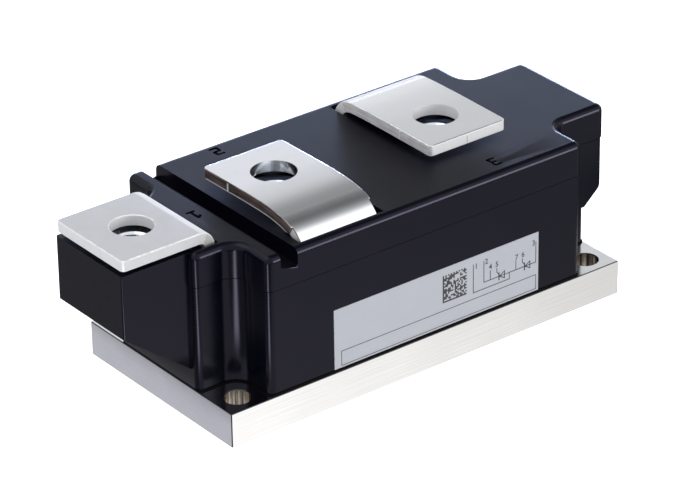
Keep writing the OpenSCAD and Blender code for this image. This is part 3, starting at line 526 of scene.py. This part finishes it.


# %% [markdown]
# ## Base plate
# The plate looks ground on its long sides and sawn at its ends, and it has four clearance holes for
# the bolts that press it on a heatsink. The ends keep the sawn lines, and their darker tone is painted
# shade for the shaded paper that they mirror. The walls of the holes show upright marks with a brown
# tint, as if drilled before plating, so they get a finish of their own. The faces of a hole are easy
# to find: all their points lie on a circle around the hole. Only the edges of the outer box are
# broken, because the short edges of the holes would hold the rounding back everywhere.

# %% Ground base plate with drilled holes
HOLE_X, HOLE_Y, HOLE_R = 56.0, 24.0, 3.5
# Places in the plate's list of finishes; 0 is the ground face
DRILLED, SAWN_AND_SHADED, PAINTED_DARK_EDGE, PAINTED_BLACK_CORNER = 1, 2, 3, 4


def near_hole(point, reach):
    return math.hypot(abs(point.x) / MM - HOLE_X, abs(point.y) / MM - HOLE_Y) < reach


plate_low, plate_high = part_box("base_plate")


def on_outside(point):
    return abs(point.x) > plate_high.x - 0.01 * MM or abs(point.y) > plate_high.y - 0.01 * MM


plate = broken_edges("base_plate", 0.22, choose=lambda e: all(on_outside(v.co) for v in e.verts))
edge_mark = plate.faces.layers.float["edge"]
# Hole chamfers, rounded top edges and upright corners get painted dark reflections
for face in plate.faces:
    if abs(face.normal.z) < 0.9 and all(near_hole(v.co, HOLE_R + 0.5) for v in face.verts):
        face.material_index = DRILLED if abs(face.normal.z) < 0.3 else PAINTED_DARK_EDGE
    elif min(abs(face.normal.x), abs(face.normal.y)) > 0.2 and abs(face.normal.z) < 0.2:
        face.material_index = PAINTED_BLACK_CORNER
    elif face[edge_mark] and face.calc_center_median().z > 1.0 * MM:
        face.material_index = PAINTED_DARK_EDGE
    # End faces: sawn finish, darkened as painted shade
    elif abs(face.normal.x) > 0.9:
        face.material_index = SAWN_AND_SHADED
print("plate has", sum(f.material_index == PAINTED_BLACK_CORNER for f in plate.faces), "corner faces")
add_piece(
    "ground_base_plate", plate, "nickel_plate", plate_nickel, bore_nickel, sawn_and_shaded_end, painted_dark_edge,
    painted_black_corner, stands_for=["base_plate"])

# %% [markdown]
# ## Frame
# The frame is one moulding: walls with hollow corners for the bolt heads, the block under terminal 1
# and the two control sockets. Its edges have the small radius of the mould.

# %% Moulded frame
frame_mesh = broken_edges("housing_frame", 0.2)
add_piece("moulded_frame", frame_mesh, "housing", frame_plastic, stands_for=["housing_frame"])

# %% [markdown]
# ## Sealant
# The joint between frame and plate shows as a thin black line, which is taken for sealant that was
# pressed out all round. The line could be drawn point by point, but the frame's mesh already has
# it: it is the outermost loop of edges between the underside and the walls. A round curve along this
# loop makes the bead, and the plate's edges cut it off where the frame ends flush with the plate.

# %% Bead of sealant along the frame's foot
def foot_loop(node):
    mesh = bmesh.new()
    mesh.from_mesh(solids[node].data)
    bmesh.ops.remove_doubles(mesh, verts=mesh.verts, dist=0.002 * MM)
    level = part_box(node)[0].z
    flat = [e for e in mesh.edges if all(abs(v.co.z - level) < 0.01 * MM for v in e.verts)]
    rim = [e for e in flat if len(e.link_faces) == 2 and sum(f.normal.z < -0.9 for f in e.link_faces) == 1]
    loops = []
    while rim:
        edge = rim.pop()
        start, point = edge.verts
        loop = [start.co.copy()]
        while point != start:
            loop.append(point.co.copy())
            edge = next(e for e in point.link_edges if e in rim)
            rim.remove(edge)
            point = edge.other_vert(point)
        loops.append(loop)
    mesh.free()
    return max(loops, key=lambda loop: max(point.x for point in loop))


outline = foot_loop("housing_frame")
curve = bpy.data.curves.new("bead", "CURVE")
curve.dimensions, curve.bevel_depth, curve.bevel_resolution = "3D", 0.4 * MM, 2
run = curve.splines.new("POLY")
run.points.add(len(outline) - 1)
run.use_cyclic_u = True
for point, at in zip(run.points, outline):
    point.co = (at.x, at.y, at.z + 0.1 * MM, 1)
path = bpy.data.objects.new("bead", curve)
bpy.context.scene.collection.objects.link(path)
bpy.context.view_layer.update()
tube = bpy.data.meshes.new_from_object(path.evaluated_get(bpy.context.evaluated_depsgraph_get()))
bpy.data.objects.remove(path)
bead = bmesh.new()
bead.from_mesh(tube)
bpy.data.meshes.remove(tube)
for point in bead.verts:
    point.co.x = min(max(point.co.x, plate_low.x), plate_high.x)
    point.co.z = max(point.co.z, plate_high.z)
add_piece("pressed_out_sealant", bead, "sealant", sealant)

# %% [markdown]
# ## Lid with engraved numbers
# The lid closes the frame and has the terminals' numbers sunk into its top, to be read from the far
# side. Numbers could be a texture, but a sunk number has walls that catch light, so they are cut.
# A mould maker mills such block figures with one straight cutter, so each is an outline of straight
# strokes here. Its walls and floor have a duller finish, and the Boolean modifier carries that finish
# into the cut. The walls and the front roundings take the frame's finish. The rear rounding takes the
# dull one, because the low back lamp would draw a bright line on it. The lips where the groove ends
# look rounder than the other edges, so they are bevelled on their own.

# %% Helpers: a solid from a flat outline, and a cut
def extrude_up(mesh, rise):
    raised = bmesh.ops.extrude_face_region(mesh, geom=list(mesh.faces), use_keep_orig=True)
    points = [g for g in raised["geom"] if isinstance(g, bmesh.types.BMVert)]
    bmesh.ops.translate(mesh, verts=points, vec=Vector((0, 0, rise)))
    bmesh.ops.recalc_face_normals(mesh, faces=mesh.faces)


def in_fixed_order(mesh):
    """Sort by place, because the Boolean modifier gives the same points in another order each run."""
    weights = Vector((1.0, 2 ** 0.5, 3 ** 0.5))
    mesh.verts.sort(key=lambda v: v.co.dot(weights))
    mesh.edges.sort(key=lambda e: (e.verts[0].co + e.verts[1].co).dot(weights))
    mesh.faces.sort(key=lambda f: f.calc_center_median().dot(weights))


def cut_away(piece, mesh, material):
    tool_data = bpy.data.meshes.new("tool")
    mesh.to_mesh(tool_data)
    mesh.free()
    tool_data.materials.append(material)
    tool = bpy.data.objects.new("tool", tool_data)
    bpy.context.scene.collection.objects.link(tool)
    cut = piece.modifiers.new("cut", "BOOLEAN")
    cut.operation, cut.solver, cut.object, cut.material_mode = "DIFFERENCE", "EXACT", tool, "TRANSFER"
    shading = piece.modifiers["even_shading"]
    shading.show_viewport = False
    bpy.context.view_layer.update()
    done = bpy.data.meshes.new_from_object(piece.evaluated_get(bpy.context.evaluated_depsgraph_get()))
    whole = bmesh.new()
    whole.from_mesh(done)
    in_fixed_order(whole)
    bmesh.ops.remove_doubles(whole, verts=whole.verts, dist=0.002 * MM)
    bmesh.ops.dissolve_limit(
        whole, angle_limit=math.radians(0.2), verts=whole.verts, edges=whole.edges,
        use_dissolve_boundaries=False, delimit={"MATERIAL"})
    whole.to_mesh(done)
    whole.free()
    done.set_sharp_from_angle(angle=math.radians(32))
    shading.show_viewport = True
    piece.modifiers.remove(cut)
    bpy.data.objects.remove(tool)
    piece.data = done
    return piece


# %% Lid, then its three numbers
FIGURES = {
    "1": [(-1.3, -2.1), (1.3, -2.1), (1.3, -1.35), (0.45, -1.35), (0.45, 2.1), (-0.3, 2.1),
          (-1.3, 1.3), (-1.3, 0.45), (-0.4, 1.05), (-0.4, -1.35), (-1.3, -1.35)],
    "2": [(-1.3, 2.1), (0.9, 2.1), (1.3, 1.7), (1.3, 0.05), (0.9, -0.35), (-0.45, -0.35),
          (-0.45, -1.35), (1.3, -1.35), (1.3, -2.1), (-1.3, -2.1), (-1.3, 0.0), (-0.9, 0.4), (0.45, 0.4),
          (0.45, 1.35), (-1.3, 1.35)],
    "3": [(-1.3, 2.1), (0.9, 2.1), (1.3, 1.7), (1.3, 0.5), (0.9, 0.05), (1.3, -0.4), (1.3, -1.7),
          (0.9, -2.1), (-1.3, -2.1), (-1.3, -1.35), (0.45, -1.35), (0.45, -0.35), (-0.7, -0.35),
          (-0.7, 0.4), (0.45, 0.4), (0.45, 1.35), (-1.3, 1.35)],
}
LID_FRONT, LID_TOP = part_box("lid")[0].y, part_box("lid")[1].z
GROOVE_DEPTH, LIP = 4.4, 0.8
# Places in the lid's list of finishes; 0 is the top
LID_WALL, LID_REAR = 1, 2
SUNK = 0.5


def is_lip(edge):
    low = LID_TOP - GROOVE_DEPTH * MM
    return all(
        abs(v.co.z - low) < 0.02 * MM and abs(abs(v.co.y) + LID_FRONT) < 0.02 * MM for v in edge.verts)


lid_mesh = broken_edges("lid", 0.25, choose=lambda e: not is_lip(e))
lips = [e for e in lid_mesh.edges if is_lip(e)]
bmesh.ops.bevel(
    lid_mesh, geom=lips, offset=LIP * MM, offset_type="OFFSET", affect="EDGES", segments=4, profile=0.5,
    material=-1, clamp_overlap=True)
print("groove has", len(lips), "lips")
for face in lid_mesh.faces:
    level = abs(face.normal.z) >= 0.985
    if not level and face.normal.y < 0.1 and face.normal.x < 0.3:
        face.material_index = LID_WALL
    elif not level and face.normal.z > 0.05 and face.normal.y > 0.3:
        face.material_index = LID_REAR
lid = add_piece(
    "moulded_lid", lid_mesh, "lid", lid_plastic, frame_plastic, number_floor, stands_for=["lid"])
for digit, x, y in (("1", -49.7, 0.6), ("2", -25.0, 25.0), ("3", 25.5, -23.7)):
    engraving = bmesh.new()
    engraving.faces.new([engraving.verts.new((px * MM, py * MM, 0)) for px, py in FIGURES[digit]])
    extrude_up(engraving, 2 * SUNK * MM)
    bmesh.ops.rotate(engraving, verts=engraving.verts, matrix=Matrix.Rotation(math.pi, 3, "Z"))
    bmesh.ops.translate(engraving, verts=engraving.verts, vec=Vector((x * MM, y * MM, LID_TOP - SUNK * MM)))
    cut_away(lid, engraving, number_floor)
print("lid has", len(lid.data.polygons), "faces and", len(lid.data.materials), "finishes")

# %% [markdown]
# ## Terminals
# Each terminal is a punched and bent strip. Punching leaves slightly round edges, so these get the
# widest rounding of all, in four steps. The sides look different from the rolled face: on terminal 2
# they are brown, which may be drawn copper, and on terminal 3 they are grey, with a pale front end.
# The causes are guesses. A pale line along the lower edge of terminal 2's left side is a painted
# highlight, and a dark line along the upper edge of terminal 3's front end is a painted reflection.
# The roundings on the right and at the back of terminals 1 and 3 are matt for the lamp's sake: the low
# back lamp would glare on them. The plates of terminals 2 and 3 look curved. They droop a little
# towards the free end, run softly into the bend, and their holes look a little wider than in the
# solids. All that is under a millimetre, but a mirror shows it at once. Small upright nibs on the
# sides may be what is left of the bridges that held a strip in its sheet.

# %% Helpers: a curved plate, and sides with their own finish
LEG_TOP, PLATE_UNDER, BEND_START, BEND_MIDDLE, BEND_REACH = 44.0, 49.0, 18.4, 21.0, 5.0
HOLE_R_CAD, HOLE_EDGE, HOLE_R_SEEN, HOLE_SHIFT = 5.5, 5.7, 5.95, 0.4
# Width of the painted pale highlight along terminal 2's left side
HIGHLIGHT_WIDTH = 0.2


def curve_plate(mesh, way, rest, droop, bow, swell):
    """Lower the plate where it isn't level; rest is the level place and the bend is at +Y times way."""
    for step in range(-12, 19, 2):
        upper = [f for f in mesh.faces if f.calc_center_median().z > (PLATE_UNDER - 2) * MM]
        edges = dict.fromkeys(e for f in upper for e in f.edges)
        points = dict.fromkeys(v for f in upper for v in f.verts)
        bmesh.ops.bisect_plane(
            mesh, geom=list(points) + list(edges) + upper, plane_co=(0, way * step * MM, 0),
            plane_no=(0, 1, 0))
    for point in mesh.verts:
        along = way * point.co.y / MM
        share = min(1.0, max(0.0, (point.co.z / MM - LEG_TOP) / (PLATE_UNDER - LEG_TOP)))
        fall = droop * max(0.0, rest - along) + bow * max(0.0, min(along, BEND_START) - rest) ** 2
        fall += swell * math.exp(-((min(along - BEND_MIDDLE, 0.0) / BEND_REACH) ** 2))
        point.co.z -= share * fall * MM


def widen_hole(mesh, middle, shift):
    for point in mesh.verts:
        offset = Vector((point.co.x - middle * MM, point.co.y, 0))
        if offset.length < HOLE_EDGE * MM and point.co.z > LEG_TOP * MM:
            point.co += offset * (HOLE_R_SEEN / HOLE_R_CAD - 1) + Vector((0, shift * MM, 0))


def finish_sides(mesh, middle, rules):
    for face in mesh.faces:
        centre = face.calc_center_median() / MM
        side = abs(face.normal.z) < 0.92 and centre.z > LEG_TOP
        if side and math.hypot(centre.x - middle, centre.y) < HOLE_EDGE + 0.2:
            face.material_index = rules["hole"]
        elif side and abs(face.normal.x) > 0.35:
            face.material_index = rules["left"] if face.normal.x < 0 else rules["right"]
        elif side and abs(face.normal.y) > 0.35 and abs(centre.y) < BEND_START - 0.4:
            face.material_index = rules["end"]
        elif abs(face.normal.x) > 0.7 and 25.0 < centre.z <= LEG_TOP:
            face.material_index = PALE


def paint_pale_highlight(mesh, width):
    """Paint a narrow pale highlight along the lower edge of the left side."""
    left = [f for f in mesh.faces if f.normal.x < -0.9 and f.calc_center_median().z > LEG_TOP * MM]
    side = max(left, key=lambda f: f.calc_area())
    ring = bmesh.ops.inset_region(mesh, faces=[side], thickness=width * MM, use_even_offset=True)["faces"]
    for face in ring:
        beside = (f for e in face.edges for f in e.link_faces if f.normal.x > -0.99)
        if any(f.normal.z < -0.1 for f in beside):
            face.material_index = PALE


def matt_roundings(mesh):
    """Make the roundings on the right and at the back matt, so that the low back lamp can't glare there."""
    for face in mesh.faces:
        away = face.normal.x > 0.06 or face.normal.y > 0.15
        if away and face.normal.z > 0.15 and face.calc_center_median().z > LEG_TOP * MM:
            face.material_index = MATT


def paint_dark_reflection(mesh):
    """Paint a dark reflection on the middle of the rounding along the front end's upper edge."""
    mark = mesh.faces.layers.float["edge"]
    for face in mesh.faces:
        if face[mark] and 0.3 < face.normal.z < 0.85 and face.normal.y < -0.45 and abs(face.normal.x) < 0.1:
            face.material_index = PAINTED_REFLECTION


# %% Three bent strips
TOP, PALE, SHEARED, PAINTED_REFLECTION, MATT = 0, 1, 2, 3, 4
NIB_SIZE, NIB_LEVEL = (0.36, 0.36, 2.2), 50.45
# For each strip: its finishes, the finish of each side, the width of its rounding, and its curve
strips = {
    "1": ((terminal_1_tin, pale_side, darker_side_as_shade, painted_dark_reflection, matt_tin),
          {"hole": PALE, "left": PALE, "right": PALE, "end": SHEARED}, 0.35, None),
    "2": ((terminal_2_tin, pale_side, brown_side),
          {"hole": TOP, "left": SHEARED, "right": SHEARED, "end": SHEARED}, 0.45,
          (-1, 3.0, 0.012, 0.0012, 0.9)),
    "3": ((terminal_3_tin, pale_side, grey_side, painted_dark_reflection, matt_tin),
          {"hole": PALE, "left": SHEARED, "right": SHEARED, "end": PALE}, 0.35,
          (1, 3.0, 0.008, 0.0005, 0.12)),
}
nibs = {"1": (), "2": ((-37.7, 2.9),), "3": ((13.1, -1.4), (25.2, -13.6))}
for number, (metals, rules, rounding, curve) in strips.items():
    low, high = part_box("terminal_nut_" + number)
    middle = (low.x + high.x) / 2 / MM
    strip = broken_edges(
        "terminal_" + number, rounding, steps=4,
        choose=lambda e: curve is None or any(
            math.hypot(v.co.x / MM - middle, v.co.y / MM) > HOLE_EDGE for v in e.verts))
    finish_sides(strip, middle, rules)
    if number != "2":
        matt_roundings(strip)
    for x, y in nibs[number]:
        place = Matrix.Translation(Vector((x, y, NIB_LEVEL)) * MM)
        size = Matrix.Diagonal((*(Vector(NIB_SIZE) * MM), 1))
        nib = bmesh.ops.create_cube(strip, size=1, matrix=place @ size)
        for face in {f for v in nib["verts"] for f in v.link_faces}:
            face.material_index = PALE
    if curve:
        widen_hole(strip, middle, -HOLE_SHIFT * curve[0])
        if number == "2":
            paint_pale_highlight(strip, HIGHLIGHT_WIDTH)
        else:
            paint_dark_reflection(strip)
        curve_plate(strip, *curve)
    add_piece("bent_strip_" + number, strip, "terminal", *metals, stands_for=["terminal_" + number])

# %% [markdown]
# ## Nuts with a thread
# Under each terminal a hexagon nut sits in a pocket, and its thread shows through the strip's hole.
# A thread is one small profile swept round and up at once. Spin does that when it is given a rise
# for every step. The tap that this makes is closed at both ends, flared like the countersinks, and
# cut out of the nut.

# %% A tap, made by spinning one thread profile
PITCH, CREST, ROOT, BORE, MOUTH = 1.5, 4.12, 4.95, 4.25, 0.9
AROUND = 36


def thread_tap(low, high):
    mesh = bmesh.new()
    profile = [(CREST, 0.0), (CREST, 0.20), (ROOT, 0.66), (ROOT, 1.04), (CREST, PITCH)]
    start = low - 2 * PITCH
    points = [mesh.verts.new(Vector((r, 0, start + rise)) * MM) for r, rise in profile]
    edges = [mesh.edges.new(pair) for pair in zip(points, points[1:])]
    turns = math.ceil((high - low) / PITCH) + 4
    bmesh.ops.spin(
        mesh, geom=points + edges, cent=(0, 0, 0), axis=(0, 0, 1), dvec=(0, 0, PITCH / AROUND * MM),
        angle=2 * math.pi * turns, steps=AROUND * turns)
    bmesh.ops.remove_doubles(mesh, verts=mesh.verts, dist=0.01 * MM)
    for level, up in ((low - 0.5, -1), (high + 0.5, 1)):
        whole = list(mesh.verts) + list(mesh.edges) + list(mesh.faces)
        bmesh.ops.bisect_plane(
            mesh, geom=whole, plane_co=(0, 0, level * MM), plane_no=(0, 0, up), clear_outer=True)
    bmesh.ops.holes_fill(mesh, edges=[e for e in mesh.edges if e.is_boundary], sides=0)
    for point in mesh.verts:
        radius = math.hypot(point.co.x, point.co.y)
        depth = min(point.co.z / MM - low, high - point.co.z / MM)
        flare = max(radius, (BORE + MOUTH - depth) * MM)
        if radius > 0 and depth > -0.4:
            point.co.x, point.co.y = point.co.x * flare / radius, point.co.y * flare / radius
    bmesh.ops.recalc_face_normals(mesh, faces=mesh.faces)
    return mesh


for number in "123":
    node = "terminal_nut_" + number
    low, high = (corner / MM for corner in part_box(node))
    nut = add_piece("zinc_nut_" + number, broken_edges(node, 0.12), "zinc_nut", nut_zinc, stands_for=[node])
    tap = thread_tap(low.z, high.z)
    centre = Vector(((low.x + high.x) / 2, (low.y + high.y) / 2, 0))
    bmesh.ops.translate(tap, verts=tap.verts, vec=centre * MM)
    cut_away(nut, tap, nut_zinc)
    print(nut.name, "with thread:", len(nut.data.polygons), "faces")

# %% [markdown]
# ## Control tabs
# Four flat tabs for push-on connectors sit in the two sockets at the right end.

# %% Push-on tabs
for number in "4567":
    node = "control_tab_" + number
    add_piece("push_on_tab_" + number, broken_edges(node, 0.1), "control_tab", tab_tin, stands_for=[node])

# %% [markdown]
# ## Label print
# The print on the real label shows how the two thyristors are joined, in standard circuit signs with
# the terminals' numbers, beside a square code and a ruled field. Print is thin ink on foil, so each
# line is a flat bar two hundredths of a millimetre high. The code's cells are made up here with a
# fixed seed and say nothing.

# %% Helpers for ink on the front face
LABEL_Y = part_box("rating_label")[0].y
INK = 0.02 * MM
ink = bmesh.new()


def bar(x0, z0, x1, z1, width=0.22):
    run, rise = x1 - x0, z1 - z0
    place = Matrix.Translation(Vector(((x0 + x1) / 2 * MM, LABEL_Y - INK / 2, (z0 + z1) / 2 * MM)))
    lean = Matrix.Rotation(-math.atan2(rise, run), 4, "Y")
    size = Matrix.Diagonal(((math.hypot(run, rise) + width) * MM, INK, width * MM, 1))
    bmesh.ops.create_cube(ink, size=1, matrix=place @ lean @ size)


def polyline(*points, width=0.22):
    for (x0, z0), (x1, z1) in zip(points, points[1:]):
        bar(x0, z0, x1, z1, width)


def number_mesh(digit, height, weight=0.0):
    curve = bpy.data.curves.new("digit", "FONT")
    curve.body, curve.align_x, curve.align_y = digit, "CENTER", "CENTER"
    curve.size, curve.offset, curve.resolution_u = 1.0, weight, 4
    writing = bpy.data.objects.new("digit", curve)
    bpy.context.scene.collection.objects.link(writing)
    bpy.context.view_layer.update()
    flat = bpy.data.meshes.new_from_object(writing.evaluated_get(bpy.context.evaluated_depsgraph_get()))
    bpy.data.objects.remove(writing)
    mesh = bmesh.new()
    mesh.from_mesh(flat)
    bpy.data.meshes.remove(flat)
    bmesh.ops.remove_doubles(mesh, verts=mesh.verts, dist=1e-5)
    tall = max(v.co.y for v in mesh.verts) - min(v.co.y for v in mesh.verts)
    middle = Vector((0, (max(v.co.y for v in mesh.verts) + min(v.co.y for v in mesh.verts)) / 2, 0))
    bmesh.ops.translate(mesh, verts=mesh.verts, vec=-middle)
    bmesh.ops.scale(mesh, verts=mesh.verts, vec=Vector((1, 1, 1)) * height * MM / tall)
    return mesh


def small_number(digit, x, z, height=1.5):
    mesh = number_mesh(digit, height, 0.01)
    extrude_up(mesh, INK)
    stand = Matrix.Translation(Vector((x * MM, LABEL_Y, z * MM))) @ Matrix.Rotation(math.pi / 2, 4, "X")
    bmesh.ops.transform(mesh, verts=mesh.verts, matrix=stand)
    data = bpy.data.meshes.new("small_number")
    mesh.to_mesh(data)
    mesh.free()
    ink.from_mesh(data)
    bpy.data.meshes.remove(data)


# %% Circuit of the two thyristors
def thyristor_sign(x, z):
    polyline((x + 1.8, z - 0.95), (x + 1.8, z + 0.95), (x + 0.1, z), (x + 1.8, z - 0.95), width=0.26)
    bar(x, z - 0.95, x, z + 0.95, 0.34)


MAIN = 18.35
polyline((14.1, 24.5), (14.1, 16.5), (25.9, 16.5), (25.9, MAIN))
polyline((17.55, 24.3), (17.55, MAIN), (34.65, MAIN), (34.65, 24.1))
for x in (22.5, 30.9):
    thyristor_sign(x, MAIN)
    polyline((x - 0.1, MAIN + 0.7), (x - 0.7, MAIN + 1.5), (x - 0.7, MAIN + 2.5))
    polyline((x - 2.85, MAIN), (x - 2.85, MAIN + 2.6))
for digit, x, z in (("1", 15.05, 23.85), ("2", 18.4, 24.1), ("3", 33.9, 24.1), ("4", 19.7, 22.1),
                    ("5", 21.8, 22.1), ("7", 28.3, 21.9), ("6", 30.4, 22.0)):
    small_number(digit, x, z)
print("circuit drawn")

# %% Square code and ruled field
CELLS, CODE_WIDTH, CODE_X, CODE_Z = 18, 7.74, 4.2, 16.88
CELL = CODE_WIDTH / CELLS
LAST = CELLS - 1
random.seed(20)
for row in range(CELLS):
    for column in range(CELLS):
        border = row == 0 or column == 0
        timing = (row == LAST and column % 2 == 0) or (column == LAST and row % 2 == 0)
        inside = 0 < row < LAST and 0 < column < LAST and random.random() < 0.5
        if border or timing or inside:
            x, z = CODE_X + (column + 0.5) * CELL, CODE_Z + (row + 0.5) * CELL
            bar(x - CELL * 0.01, z, x + CELL * 0.01, z, CELL * 0.98)
polyline((-27.9, 10.65), (34.7, 10.65), (34.7, 14.7), (-27.9, 14.7), (-27.9, 10.65), width=0.18)
print("code and field drawn:", len(ink.faces), "faces")

# %% Put the ink on the label
add_piece("label_print", ink, "label", label_ink)
solids["rating_label"].data.materials.clear()
solids["rating_label"].data.materials.append(label_foil)

# %% [markdown]
# ## Finishes for the solids that stay as they are
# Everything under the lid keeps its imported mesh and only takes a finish.

# %% Finishes by the name of the solid
inside = {
    "seal_bead": sealant, "insulator_disc": ceramic, "mid_busbar": bare_copper, "thyristor_disc": silicon,
    "centring_ring": inner_plastic, "cathode_disc": bare_copper, "gate_pin": tab_tin,
    "insulating_cup": inner_plastic, "pressure_pad": black_steel, "spring_plate": spring_steel,
    "clamp_screws": black_steel, "gate_lead": lead_sleeve, "cathode_lead": lead_sleeve,
}
for name, solid in solids.items():
    for start, material in inside.items():
        if name.startswith(start):
            solid.data.materials.clear()
            solid.data.materials.append(material)
print("finished", sum(1 for s in solids.values() if s.data.materials), "of", len(solids), "solids")
